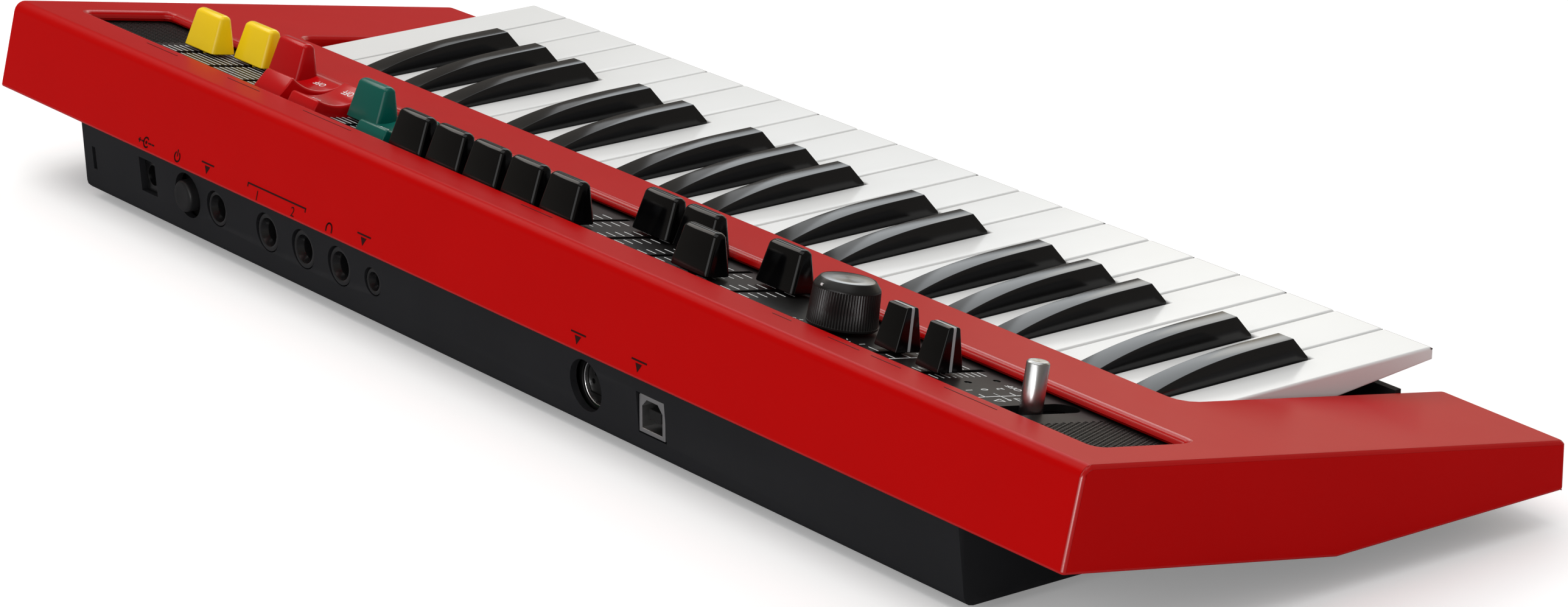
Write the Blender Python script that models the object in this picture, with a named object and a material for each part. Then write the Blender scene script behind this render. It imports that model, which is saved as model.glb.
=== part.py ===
"""Combo organ with mini keys, modelled as an assembly of separate pieces.

Metres, +Z up. X runs from the player's left (-X) to the right (+X), the
player sits at -Y and the sockets are in the rear wall at +Y. The origin is
the middle of the footprint, at the underside of the feet.
"""
import math

import bmesh
import bpy
from mathutils import Matrix, Vector

for leftover in list(bpy.data.objects):
    bpy.data.objects.remove(leftover, do_unlink=True)

MM = 0.001

# Clearances
SEAT_GAP = 0.3 * MM
SLIDE_GAP = 0.5 * MM
CUT_PAST = 1.0 * MM
OVERLAP = 0.5 * MM

# Red top case
CASE_WIDTH = 530.0 * MM
CASE_DEPTH = 174.5 * MM
DECK_HEIGHT = 54.0 * MM
DECK_TILT = math.radians(10.35)
DECK_WALL = 3.0 * MM
CASE_WALL = 2.5 * MM
REAR_HEIGHT = 27.2 * MM
REAR_LEAN = 6.7 * MM
REAR_FILLET = 3.5 * MM
WING_UNDERSIDE = 10.1 * MM
WING_SWEEP = 2.1 * MM
CORNER_RADIUS = 1.8 * MM
EDGE_BEVEL = 1.0 * MM
WING_WIDTH = 49.4 * MM
DECK_DEPTH = 74.60 * MM
BAY_CORNER = 5.0 * MM

# Recess in the deck, measured along the slope from the rear top edge. The places of the
# controls across it are drawn for DRAWN_RECESS and follow the recess if it changes.
DRAWN_RECESS = 501.2 * MM
RECESS_REAR = 16.0 * MM
RECESS_FRONT = 49.5 * MM
RECESS_END = 14.4 * MM
RECESS_RADIUS = 4.0 * MM
RECESS_CHAMFER = 1.5 * MM

# Black bottom case
BASE_UNDERSIDE = 2.8 * MM
BASE_WALL = 2.2 * MM
BASE_FLOOR = 2.0 * MM
BASE_INSET = 44.3 * MM
BASE_REAR_SETBACK = 5.4 * MM
BASE_REAR_LEAN = 0.076
BASE_CORNER = 3.0 * MM
FRONT_WALL_INSET = 15.3 * MM
FRONT_WALL_DROP = 9.0 * MM
FLANGE_THICKNESS = 2.0 * MM
FLANGE_RECESS = 1.0 * MM

# Rubber feet
FOOT_RADIUS = 7.0 * MM
FOOT_CHAMFER = 0.6 * MM
FOOT_INSET = 30.7 * MM
FOOT_REAR_INSET = 25.25 * MM
FOOT_FRONT_INSET = 35.25 * MM

# Control panel plate
PANEL_THICKNESS = 2.0 * MM
PANEL_LAP = 4.0 * MM
SLOT_WIDTH = 2.2 * MM
SLOT_END_GAP = 1.2 * MM
GRILLE_INSET = 16.8 * MM
GRILLE_LENGTH = 28.0 * MM
GRILLE_SLOTS = 9
GRILLE_PITCH = 3.2 * MM
GRILLE_SLOT_WIDTH = 1.6 * MM
LED_RADIUS = 0.8 * MM
LED_ACROSS = -180.4 * MM
LED_PLACES = (-32.6 * MM, -42.4 * MM)

# Slider caps
CAP_WIDTH = 17.2 * MM
CAP_LENGTH = 8.8 * MM
CAP_TOP_WIDTH = 15.1 * MM
CAP_TOP_LENGTH = 3.7 * MM
CAP_RISE = 9.8 * MM
CAP_LIFT = 1.0 * MM
CAP_ROUND = 0.8 * MM
NARROW_CAP_WIDTH = 9.6 * MM
NARROW_CAP_TOP_WIDTH = 8.3 * MM
STEM_LENGTH = 3.6 * MM
STEM_REACH = 2.2 * MM
STROKE_REAR = -23.3 * MM
STROKE_FRONT = -42.8 * MM

DRAWBAR_PITCH = 19.5 * MM
DRAWBAR_MIDDLE = -9.9 * MM
DRAWBAR_REACHES = (0.0, 0.0, 0.0, 0.0, 0.0, 19.3, 19.3, 4.4, 19.3)
EFFECT_CAPS = (
    ("slider_distortion", 205.6 * MM, -36.9 * MM, "yellow"),
    ("slider_reverb", 185.9 * MM, -42.8 * MM, "yellow"),
    ("slider_vibrato", 166.0 * MM, -42.8 * MM, "cap_red"),
    ("slider_percussion", 107.4 * MM, -34.4 * MM, "green"),
)
LINE_CAPS = (
    ("slider_octave", -150.7 * MM, -32.3 * MM),
    ("slider_volume", -170.6 * MM, -30.4 * MM),
)

# Rocker tabs
ROCKER_MIDDLE = -31.4 * MM
ROCKER_LENGTH = 25.6 * MM
ROCKER_RIDGE_SPAN = 18.6 * MM
ROCKER_WIDTH = 15.0 * MM
ROCKER_TOP_INSET = 0.9 * MM
ROCKER_RISE = 3.3 * MM
ROCKER_DIP = 2.9 * MM
ROCKER_PIVOT = -8.0 * MM
ROCKER_UNDER = -9.6 * MM
ROCKER_TILT = math.radians(7.5)
ROCKER_PIN_RADIUS = 1.2 * MM
ROCKER_PIN_LENGTH = 1.0 * MM
ROCKER_WINDOW_GAP = 0.5 * MM
ROCKER_SWING_GAP = 1.0 * MM
POST_THICKNESS = 1.6 * MM
POST_HALF = 3.0 * MM
POST_TOP = -5.8 * MM
ROCKER_TABS = (
    ("rocker_chorus", 144.0 * MM, "cap_red", 1.0),
    ("rocker_percussion", 124.6 * MM, "cap_red", -1.0),
    ("rocker_harmonic", 86.9 * MM, "green", -1.0),
)

# Wave dial
DIAL_ACROSS = -127.4 * MM
DIAL_PLACE = -31.7 * MM
DIAL_RADIUS = 9.8 * MM
DIAL_TOP_RADIUS = 9.2 * MM
DIAL_FACE_RADIUS = 7.5 * MM
DIAL_RISE = 10.7 * MM
DIAL_SHOULDER = 1.8 * MM
DIAL_RIB = 0.25 * MM
DIAL_RIBS = 24
DIAL_SHAFT_RADIUS = 3.0 * MM
DIAL_POT_RADIUS = 6.5 * MM

# Rotary speed lever
LEVER_ACROSS = -206.8 * MM
LEVER_PLACE = -32.0 * MM
LEVER_RADIUS = 3.1 * MM
LEVER_RISE = 9.8 * MM
LEVER_SLOT_REAR = -19.2 * MM
LEVER_SLOT_FRONT = -47.4 * MM
LEVER_SLOT_WIDTH = 8.6 * MM
LEVER_SHOE_HALF = 13.0 * MM
LEVER_SHOE_WIDTH = 11.4 * MM
LEVER_SHOE_THICKNESS = 1.2 * MM

# Keys, counted from the player's left
WHITE_COUNT = 22
KEYBED_GAP = 1.32 * MM
KEY_GAP = 0.8 * MM
KEY_DROP = 4.376 * MM
KEY_SETBACK = 2.45 * MM
KEY_HEEL = 6.0 * MM
KEY_LIP = 3.6 * MM
KEY_THICKNESS = 7.5 * MM
KEY_TAPER = 40.8 * MM
KEY_ROUND = 1.4 * MM
HINGE_SETBACK = 16.55 * MM
HINGE_RADIUS = 2.0 * MM
BLACK_WIDTH = 9.1 * MM
BLACK_TOP_WIDTH = 6.3 * MM
BLACK_SETBACK = 33.8 * MM
BLACK_NOSE = 4.0 * MM
BLACK_RISE = 6.0 * MM
BLACK_SIDE_GAP = 0.9 * MM
BLACK_FRONT_GAP = 1.3 * MM
BLACK_ARM_WIDTH = 6.0 * MM
BLACK_DEPTH = 7.0 * MM
COMB_BAR_SETBACK = 10.1 * MM
COMB_BAR_LENGTH = 4.0 * MM
COMB_BAR_DEPTH = 5.0 * MM
OCTAVE = 7
BLACK_PLACES = ((1, -1.6 * MM), (2, 1.6 * MM), (4, -2.1 * MM), (5, 0.0), (6, 2.1 * MM))

# Key frame under the keys
FRAME_THICKNESS = 2.0 * MM
FRAME_WEB = 3.0 * MM
FRAME_HEEL = 4.0 * MM
FRAME_SETBACK = 18.8 * MM
FRAME_SIDE_GAP = 1.6 * MM
FRAME_STOP_SETBACK = 26.8 * MM
FRAME_STOP_DROP = 8.0 * MM

# Sockets in the rear wall
SOCKET_Z = 16.6 * MM
SOCKET_SETBACK = 4.75 * MM
LOCK_INSET = 6.8 * MM
LOCK_WIDTH = 2.0 * MM
LOCK_HEIGHT = 7.4 * MM
LOCK_Z = 14.4 * MM
INLET_X = 180.6 * MM
INLET_WIDTH = 9.4 * MM
INLET_HEIGHT = 11.0 * MM
INLET_SETBACK = 1.6 * MM
INLET_BORE = 3.2 * MM
INLET_PIN = 1.0 * MM
POWER_X = 157.0 * MM
POWER_RECESS = 7.2 * MM
POWER_RADIUS = 5.0 * MM
POWER_PROUD = 2.6 * MM
POWER_TRAVEL = 2.0 * MM
POWER_LENGTH = 11.0 * MM
JACKS = ((140.0 * MM, 5.4 * MM), (111.1 * MM, 5.9 * MM), (91.0 * MM, 5.9 * MM), (71.1 * MM, 5.9 * MM))
JACK_BORE = 3.3 * MM
JACK_BORE_DEPTH = 12.0 * MM
JACK_BODY_WIDTH = 14.8 * MM
AUX_X = 53.1 * MM
AUX_RADIUS = 4.1 * MM
AUX_BORE = 1.9 * MM
MIDI_X = -54.8 * MM
MIDI_Z = 15.4 * MM
MIDI_RECESS = 7.6 * MM
MIDI_RADIUS = 8.6 * MM
MIDI_GROOVE = 6.9 * MM
MIDI_INSERT = 5.9 * MM
MIDI_PIN_CIRCLE = 3.6 * MM
MIDI_PIN_HOLE = 0.8 * MM
MIDI_PINS = 5
USB_X = -85.8 * MM
USB_Z = 15.0 * MM
USB_WIDTH = 12.0 * MM
USB_HEIGHT = 11.0 * MM
USB_RIM = 1.3 * MM
USB_CHAMFER = 2.2 * MM
USB_LENGTH = 13.0 * MM
USB_TONGUE_WIDTH = 5.6 * MM
USB_TONGUE_HEIGHT = 3.2 * MM
SOCKET_COLLAR = 3.5 * MM
SOCKET_BODY_DEPTH = 15.0 * MM
SOCKET_BODY_HEIGHT = 16.0 * MM

# Circuit boards
BOARD_THICKNESS = 1.6 * MM
BOARD_LIFT = 2.4 * MM
PILLAR_RADIUS = 2.6 * MM
JACK_BOARD_ENDS = (45.0 * MM, 187.0 * MM)
JACK_BOARD_DEPTH = 18.6 * MM
MAIN_BOARD_ENDS = (-150.0 * MM, -36.0 * MM)
MAIN_BOARD_DEPTH = 40.6 * MM
BOARD_EDGE_GAP = 0.4 * MM
CHIP_SIZE = 12.0 * MM
CHIP_HEIGHT = 2.0 * MM
POT_TOP = -8.0 * MM
POT_HEIGHT = 4.0 * MM
POT_WIDTH = 7.0 * MM
POT_WALL = 1.6 * MM
PANEL_BOARD_INSET = 36.6 * MM
PANEL_BOARD_REAR = -15.0 * MM
PANEL_BOARD_FRONT = -46.4 * MM
PANEL_PILLARS = (196.2 * MM, 0.2 * MM, -97.3 * MM, -190.0 * MM)

# Speakers under the grilles
SPEAKER_RADIUS = 12.8 * MM
SPEAKER_RIM = 1.5 * MM
SPEAKER_MAGNET_RADIUS = 8.5 * MM
SPEAKER_DEPTH = 13.0 * MM

# Values worked out from the ones above
TOP_Y = CASE_DEPTH / 2 - REAR_LEAN
FRONT_Y = -CASE_DEPTH / 2
HALF_WIDTH = CASE_WIDTH / 2
BAY_HALF = HALF_WIDTH - WING_WIDTH
BASE_HALF_WIDTH = HALF_WIDTH - BASE_INSET
LOCK_X = BASE_HALF_WIDTH - LOCK_INSET
BAY_Y = TOP_Y - DECK_DEPTH
SLOPE = math.tan(DECK_TILT)
REAR_BOTTOM = DECK_HEIGHT - REAR_HEIGHT
KNEE_Y = CASE_DEPTH / 2 - (REAR_BOTTOM - WING_UNDERSIDE) / SLOPE
RECESS_HALF = HALF_WIDTH - RECESS_END
RECESS_MIDDLE = -(RECESS_REAR + RECESS_FRONT) / 2
PANEL_TOP = -(DECK_WALL + SEAT_GAP)
PANEL_UNDER = PANEL_TOP - PANEL_THICKNESS
PANEL_HALF = RECESS_HALF + PANEL_LAP
CAP_BASE = PANEL_TOP + CAP_LIFT
KEY_PITCH = 2 * (BAY_HALF - KEYBED_GAP) / WHITE_COUNT
KEY_TOP = DECK_HEIGHT - DECK_DEPTH * SLOPE - KEY_DROP
KEY_FRONT = FRONT_Y + KEY_SETBACK
HINGE_Y = BAY_Y + HINGE_SETBACK
HINGE_Z = KEY_TOP - KEY_THICKNESS
KEY_TAIL = HINGE_Y + KEY_HEEL
KEYBED_LEFT = -WHITE_COUNT / 2 * KEY_PITCH
BLACK_FRONT = KEY_FRONT + BLACK_SETBACK
BLACK_UNDER = KEY_TOP - BLACK_DEPTH
COMB_BAR_Y = HINGE_Y + COMB_BAR_SETBACK
FRAME_REAR = HINGE_Y + FRAME_HEEL
FRAME_FRONT = KEY_FRONT + FRAME_SETBACK
FRAME_HALF_WIDTH = BAY_HALF - FRAME_SIDE_GAP
FRAME_STOP_Y = KEY_FRONT + FRAME_STOP_SETBACK
FRAME_STOP_TOP = HINGE_Z - FRAME_STOP_DROP
FRONT_WALL_TOP = KEY_TOP - FRONT_WALL_DROP
FOOT_X = BASE_HALF_WIDTH - FOOT_INSET
FOOT_REAR = CASE_DEPTH / 2 - FOOT_REAR_INSET
FOOT_FRONT = FRONT_Y + FOOT_FRONT_INSET
GRILLE_MIDDLE = RECESS_HALF - GRILLE_INSET
PANEL_BOARD_HALF = RECESS_HALF - PANEL_BOARD_INSET
SOCKET_FACE = CASE_DEPTH / 2 - SOCKET_SETBACK
SOCKET_BODY_FACE = SOCKET_FACE - SOCKET_COLLAR
BOARD_REAR = SOCKET_BODY_FACE - BOARD_EDGE_GAP
JACK_BOARD_FRONT = BOARD_REAR - JACK_BOARD_DEPTH
MAIN_BOARD_FRONT = BOARD_REAR - MAIN_BOARD_DEPTH
BASE_FRONT = FRONT_Y + FRONT_WALL_INSET
BASE_INSIDE = BASE_UNDERSIDE + BASE_FLOOR
BASE_REAR = CASE_DEPTH / 2 - BASE_REAR_SETBACK
FLANGE_MIDDLE = FLANGE_RECESS + FLANGE_THICKNESS / 2
BOARD_Z = BASE_INSIDE + BOARD_LIFT
BOARD_TOP = BOARD_Z + BOARD_THICKNESS
SOCKET_BODY_TOP = BOARD_Z + SOCKET_BODY_HEIGHT
PANEL_BOARD_TOP = POT_TOP - POT_HEIGHT
STROKE_MIDDLE = (STROKE_REAR + STROKE_FRONT) / 2
SLOT_HALF = (STROKE_REAR - STROKE_FRONT) / 2 + STEM_LENGTH / 2 + SLOT_END_GAP
SPREAD = 2 * RECESS_HALF / DRAWN_RECESS
DIAL_X = DIAL_ACROSS * SPREAD
LEVER_X = LEVER_ACROSS * SPREAD
LED_X = LED_ACROSS * SPREAD
PANEL_PILLAR_X = [x * SPREAD for x in PANEL_PILLARS]
ROCKERS = [(name, x * SPREAD, finish, lean) for name, x, finish, lean in ROCKER_TABS]
CAPS = list(EFFECT_CAPS)
for number, reach in enumerate(DRAWBAR_REACHES):
    place_x = DRAWBAR_MIDDLE + ((len(DRAWBAR_REACHES) - 1) / 2 - number) * DRAWBAR_PITCH
    CAPS.append((f"drawbar_{number + 1}", place_x, STROKE_REAR - reach * MM, "cap_black"))
CAPS += [(name, x, along, "cap_black") for name, x, along in LINE_CAPS]
SLIDERS = [(name, x * SPREAD, along, finish) for name, x, along, finish in CAPS]


def deck_point(x, along, rise):
    """A point given by its place along the sloping deck and its rise above it."""
    y = TOP_Y + along * math.cos(DECK_TILT) - rise * math.sin(DECK_TILT)
    z = DECK_HEIGHT + along * math.sin(DECK_TILT) + rise * math.cos(DECK_TILT)
    return Vector((x, y, z))


def deck_height(y):
    return DECK_HEIGHT + (y - TOP_Y) * SLOPE


def underside_height(y):
    """Lower edge of the red case: parallel to the deck at the rear, then level."""
    return max(WING_UNDERSIDE, REAR_BOTTOM + (y - CASE_DEPTH / 2) * SLOPE)


def rear_wall(z):
    """Outer face of the black rear wall at a height."""
    return BASE_REAR + (z - BASE_UNDERSIDE) * BASE_REAR_LEAN


COLOURS = {
    "case_red": ((0.43, 0.002, 0.002), 0.34, 0.0),
    "base_black": ((0.018, 0.019, 0.021), 0.5, 0.0),
    "panel_black": ((0.028, 0.028, 0.028), 0.42, 0.0),
    "key_white": ((0.83, 0.83, 0.81), 0.16, 0.0),
    "key_black": ((0.008, 0.008, 0.009), 0.18, 0.0),
    "cap_black": ((0.006, 0.006, 0.007), 0.2, 0.0),
    "cap_red": ((0.5, 0.0, 0.004), 0.25, 0.0),
    "yellow": ((0.9, 0.62, 0.01), 0.27, 0.0),
    "green": ((0.0, 0.13, 0.09), 0.27, 0.0),
    "aluminium": ((0.75, 0.75, 0.76), 0.3, 1.0),
    "steel": ((0.6, 0.6, 0.6), 0.35, 1.0),
    "frame_grey": ((0.09, 0.09, 0.1), 0.6, 0.0),
    "board_green": ((0.01, 0.1, 0.03), 0.5, 0.0),
    "speaker_grey": ((0.05, 0.05, 0.05), 0.6, 0.0),
    "rubber": ((0.02, 0.02, 0.02), 0.85, 0.0),
}


def material(name):
    """The plain Principled material of one finish, made once."""
    if name in bpy.data.materials:
        return bpy.data.materials[name]
    colour, roughness, metallic = COLOURS[name]
    made = bpy.data.materials.new(name)
    made.use_nodes = True
    shader = made.node_tree.nodes["Principled BSDF"]
    shader.inputs["Base Color"].default_value = (*colour, 1.0)
    shader.inputs["Roughness"].default_value = roughness
    shader.inputs["Metallic"].default_value = metallic
    return made


def add_object(name, bm, finish=None):
    """Turn a bmesh into a named object."""
    bmesh.ops.recalc_face_normals(bm, faces=bm.faces)
    mesh = bpy.data.meshes.new(name)
    bm.to_mesh(mesh)
    bm.free()
    made = bpy.data.objects.new(name, mesh)
    bpy.context.scene.collection.objects.link(made)
    if finish:
        mesh.materials.append(material(finish))
    return made


def stand_on_deck(made, x, along, rise=0.0):
    """Place a piece built about its own origin, with its Z square to the deck."""
    made.location = deck_point(x, along, rise)
    made.rotation_euler = (DECK_TILT, 0.0, 0.0)
    bpy.context.view_layer.update()
    return made


def combine(target, tool, operation):
    """Boolean one or several bodies into the target and drop them."""
    step = target.modifiers.new(operation, "BOOLEAN")
    step.operation = operation
    step.solver = "EXACT"
    step.object = tool
    bpy.context.view_layer.update()
    graph = bpy.context.evaluated_depsgraph_get()
    result = bpy.data.meshes.new_from_object(target.evaluated_get(graph))
    target.modifiers.clear()
    old = target.data
    target.data = result
    bpy.data.meshes.remove(old)
    bpy.data.objects.remove(tool, do_unlink=True)
    return target


def gather(bodies):
    """One object out of several bodies that stand apart from each other."""
    together = bmesh.new()
    for body in bodies:
        bmesh.ops.recalc_face_normals(body, faces=body.faces)
        mesh = bpy.data.meshes.new("body")
        body.to_mesh(mesh)
        body.free()
        together.from_mesh(mesh)
        bpy.data.meshes.remove(mesh)
    return add_object("tool", together)


def cut(target, bodies):
    return combine(target, gather(bodies), "DIFFERENCE")


def join(target, bodies):
    return combine(target, gather(bodies), "UNION")


def keep_common(target, body):
    return combine(target, gather([body]), "INTERSECT")


def loft(rings):
    """A closed body through rings that have the same number of points."""
    bm = bmesh.new()
    rows = [[bm.verts.new(point) for point in ring] for ring in rings]
    count = len(rows[0])
    for lower, upper in zip(rows, rows[1:]):
        for i in range(count):
            j = (i + 1) % count
            bm.faces.new((lower[i], lower[j], upper[j], upper[i]))
    bm.faces.new(list(reversed(rows[0])))
    bm.faces.new(rows[-1])
    return bm


def prism_x(outline, x_low, x_high):
    """An outline of (y, z) points pulled along X."""
    return loft([[(x, y, z) for y, z in outline] for x in (x_low, x_high)])


def prism_y(outline, y_low, y_high):
    """An outline of (x, z) points pulled along Y."""
    return loft([[(x, y, z) for x, z in outline] for y in (y_low, y_high)])


def prism_z(outline, z_low, z_high):
    """An outline of (x, y) points pulled along Z."""
    return loft([[(x, y, z) for x, y in outline] for z in (z_low, z_high)])


def block(x_low, x_high, y_low, y_high, z_low, z_high):
    return prism_z([(x_low, y_low), (x_high, y_low), (x_high, y_high), (x_low, y_high)], z_low, z_high)


def circle(x, y, radius, steps=24):
    angles = [2 * math.pi * i / steps for i in range(steps)]
    return [(x + radius * math.cos(a), y + radius * math.sin(a)) for a in angles]


def rounded(corners, steps=3):
    """An outline of (x, y, radius) corners with each corner rounded."""
    outline = []
    for i, (x, y, radius) in enumerate(corners):
        corner = Vector((x, y))
        if not radius:
            outline.append((x, y))
            continue
        before = (Vector(corners[i - 1][:2]) - corner).normalized()
        after = (Vector(corners[(i + 1) % len(corners)][:2]) - corner).normalized()
        half = before.angle(after) / 2
        centre = corner + (before + after).normalized() * radius / math.sin(half)
        start = corner + before * radius / math.tan(half) - centre
        end = corner + after * radius / math.tan(half) - centre
        outline += [tuple(centre + start.slerp(end, k / steps) * radius) for k in range(steps + 1)]
    return outline


def rounded_box_outline(half_x, half_y, radius, middle=0.0, steps=2):
    """A rectangle with round corners, its middle shifted along Y."""
    low, high = middle - half_y, middle + half_y
    corners = [(half_x, low, radius), (half_x, high, radius), (-half_x, high, radius), (-half_x, low, radius)]
    return rounded(corners, steps)


def turned(profile, steps, rib=0.0):
    """A closed turned body from (radius, height) points, with optional ribs."""
    rings = []
    for radius, height in profile:
        ring = []
        for i in range(steps):
            angle = 2 * math.pi * i / steps
            reach = radius - rib * (i % 2)
            ring.append((reach * math.cos(angle), reach * math.sin(angle), height))
        rings.append(ring)
    return loft(rings)


def shifted(bm, x=0.0, y=0.0, z=0.0):
    bmesh.ops.translate(bm, verts=bm.verts, vec=(x, y, z))
    return bm


def case_plan(inset):
    """Plan of the case seen from above: a bar with a wing at each end."""
    outer = HALF_WIDTH - inset
    inner = BAY_HALF + inset
    front = FRONT_Y + inset
    rear = CASE_DEPTH / 2 + CUT_PAST
    tight = max(CORNER_RADIUS - inset, OVERLAP)
    right = [(inner, BAY_Y + inset, BAY_CORNER + inset), (inner, front, tight)]
    right += [(outer, front + WING_SWEEP, tight), (outer, rear, 0.0)]
    left = [(-x, y, radius) for x, y, radius in reversed(right)]
    return rounded(right + left)


def case_profile(wall, deck_wall, open_below):
    """Side view of the case as (y, z) points."""
    rear = CASE_DEPTH / 2 - wall
    front = FRONT_Y - CUT_PAST
    drop = deck_wall / math.cos(DECK_TILT)
    lean = REAR_LEAN / REAR_HEIGHT
    corner_y = rear - lean * (deck_height(rear) - drop - REAR_BOTTOM) / (1 + lean * SLOPE)
    corner = (corner_y, deck_height(corner_y) - drop, max(REAR_FILLET - wall, OVERLAP))
    if open_below:
        below = [(front, -CUT_PAST, 0.0), (rear, -CUT_PAST, 0.0)]
    else:
        below = [(front, WING_UNDERSIDE, 0.0), (KNEE_Y, WING_UNDERSIDE, 0.0)]
    return rounded([(front, deck_height(front) - drop, 0.0)] + below + [(rear, REAR_BOTTOM, 0.0), corner], 5)


def case_form(inset, deck_wall, open_below):
    """The solid outer form of the red case, or the form of its hollow."""
    form = add_object("form", prism_z(case_plan(inset), -2 * CUT_PAST, 2 * DECK_HEIGHT), "case_red")
    return keep_common(form, prism_x(case_profile(inset, deck_wall, open_below), -CASE_WIDTH, CASE_WIDTH))


def soften_rim(target):
    """Bevel the rim of the deck and the upright rear edges of the case."""
    bm = bmesh.new()
    bm.from_mesh(target.data)
    near = 0.02 * MM
    bmesh.ops.dissolve_limit(bm, angle_limit=math.radians(1.0), verts=bm.verts, edges=bm.edges)
    chosen = []
    for edge in bm.edges:
        ends = [v.co for v in edge.verts]
        sharp = edge.calc_face_angle(0) > math.radians(30)
        on_deck = all(abs(co.z - deck_height(co.y)) < near for co in ends)
        behind = all(co.y > TOP_Y - 2 * REAR_FILLET for co in ends)
        on_side = abs(ends[0].x - ends[1].x) < near and abs(abs(ends[0].x) - HALF_WIDTH) < near
        if sharp and (on_deck or (behind and on_side)):
            chosen.append(edge)
    bmesh.ops.bevel(bm, geom=chosen, offset=EDGE_BEVEL, segments=2, affect="EDGES", profile=0.5)
    bm.to_mesh(target.data)
    bm.free()


def recess_ring(rise, inset):
    outline = rounded_box_outline(RECESS_HALF - inset, (RECESS_FRONT - RECESS_REAR) / 2 - inset,
                                  RECESS_RADIUS - inset, RECESS_MIDDLE, 4)
    return [tuple(deck_point(x, along, rise)) for x, along in outline]


def make_top_case():
    case = case_form(0.0, 0.0, False)
    case.name = "top_case"
    soften_rim(case)
    combine(case, case_form(CASE_WALL, DECK_WALL, True), "DIFFERENCE")
    front = BAY_Y - BAY_CORNER - CUT_PAST
    rear = BAY_Y + CASE_WALL + CUT_PAST
    drop = DECK_WALL / math.cos(DECK_TILT)
    key_way = [(front, -CUT_PAST), (rear, -CUT_PAST), (rear, deck_height(rear) - drop),
               (front, deck_height(front) - drop)]
    cut(case, [prism_x(key_way, -BAY_HALF, BAY_HALF)])
    rings = [recess_ring(-DECK_WALL - CUT_PAST, RECESS_CHAMFER), recess_ring(-RECESS_CHAMFER, RECESS_CHAMFER),
             recess_ring(CUT_PAST, -CUT_PAST)]
    return cut(case, [loft(rings)])


def flange_outline():
    """Side view of the sheet that closes the underside of the red case."""
    lean = (FLANGE_RECESS + FLANGE_THICKNESS) * REAR_LEAN / REAR_HEIGHT
    rear = CASE_DEPTH / 2 - CASE_WALL - SEAT_GAP - lean
    stations = (FRONT_Y - CUT_PAST, KNEE_Y, rear)
    under = [(y, underside_height(y) + FLANGE_RECESS) for y in stations]
    return under + [(y, z + FLANGE_THICKNESS) for y, z in reversed(under)]


def make_bottom_case():
    rear_top = REAR_BOTTOM + FLANGE_RECESS
    tray = rounded([(BASE_FRONT, BASE_UNDERSIDE, 0.0), (BASE_REAR, BASE_UNDERSIDE, BASE_CORNER),
                    (rear_wall(rear_top), rear_top, 0.0), (KNEE_Y, WING_UNDERSIDE + FLANGE_MIDDLE, 0.0),
                    (BASE_FRONT, WING_UNDERSIDE + FLANGE_MIDDLE, 0.0)])
    base = add_object("bottom_case", prism_x(tray, -BASE_HALF_WIDTH, BASE_HALF_WIDTH), "base_black")
    half = (rear_wall(rear_top) + CUT_PAST - BASE_FRONT + CUT_PAST) / 2
    middle = BASE_FRONT - CUT_PAST + half
    plan = rounded_box_outline(BASE_HALF_WIDTH - SEAT_GAP / 2, half, BASE_CORNER, middle)
    keep_common(base, prism_z(plan, -CUT_PAST, DECK_HEIGHT))
    sheet = add_object("sheet", prism_x(flange_outline(), -HALF_WIDTH, HALF_WIDTH))
    keep_common(sheet, prism_z(case_plan(CASE_WALL + SEAT_GAP), -CUT_PAST, DECK_HEIGHT))
    combine(base, sheet, "UNION")
    half_face = BAY_HALF - SEAT_GAP
    join(base, [block(-half_face, half_face, BASE_FRONT, BASE_FRONT + BASE_WALL,
                      BASE_INSIDE, FRONT_WALL_TOP)])
    inside = BASE_HALF_WIDTH - BASE_WALL
    inner_rear = [rear_wall(z) - BASE_WALL for z in (BASE_INSIDE, DECK_HEIGHT)]
    hollow = [(BASE_FRONT + BASE_WALL, BASE_INSIDE), (inner_rear[0], BASE_INSIDE),
              (inner_rear[1], DECK_HEIGHT), (BASE_FRONT + BASE_WALL, DECK_HEIGHT)]
    cut(base, [prism_x(hollow, -inside, inside)])
    slots = []
    for side in (-1, 1):
        near = side * half_face
        far = side * (BAY_HALF + CASE_WALL + SEAT_GAP)
        slots.append(block(min(near, far), max(near, far), BASE_FRONT - CUT_PAST,
                           BASE_FRONT + BASE_WALL + CUT_PAST, WING_UNDERSIDE - SEAT_GAP, DECK_HEIGHT))
    cut(base, slots)
    front, back = rear_wall(0.0) - BASE_WALL - 2 * CUT_PAST, CASE_DEPTH / 2
    holes = [prism_y(circle(x, SOCKET_Z, radius + SEAT_GAP), front, back) for x, radius in JACKS]
    holes.append(prism_y(circle(AUX_X, SOCKET_Z, AUX_RADIUS + SEAT_GAP), front, back))
    holes.append(prism_y(circle(POWER_X, SOCKET_Z, POWER_RECESS), front, back))
    holes.append(prism_y(circle(MIDI_X, MIDI_Z, MIDI_RECESS), front, back))
    for x, z, width, height in ((LOCK_X, LOCK_Z, LOCK_WIDTH, LOCK_HEIGHT),
                                (INLET_X, SOCKET_Z, INLET_WIDTH, INLET_HEIGHT),
                                (USB_X, USB_Z, USB_WIDTH + 2 * SLIDE_GAP, USB_HEIGHT + 2 * SLIDE_GAP)):
        holes.append(block(x - width / 2, x + width / 2, front, back, z - height / 2, z + height / 2))
    return cut(base, holes)


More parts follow.
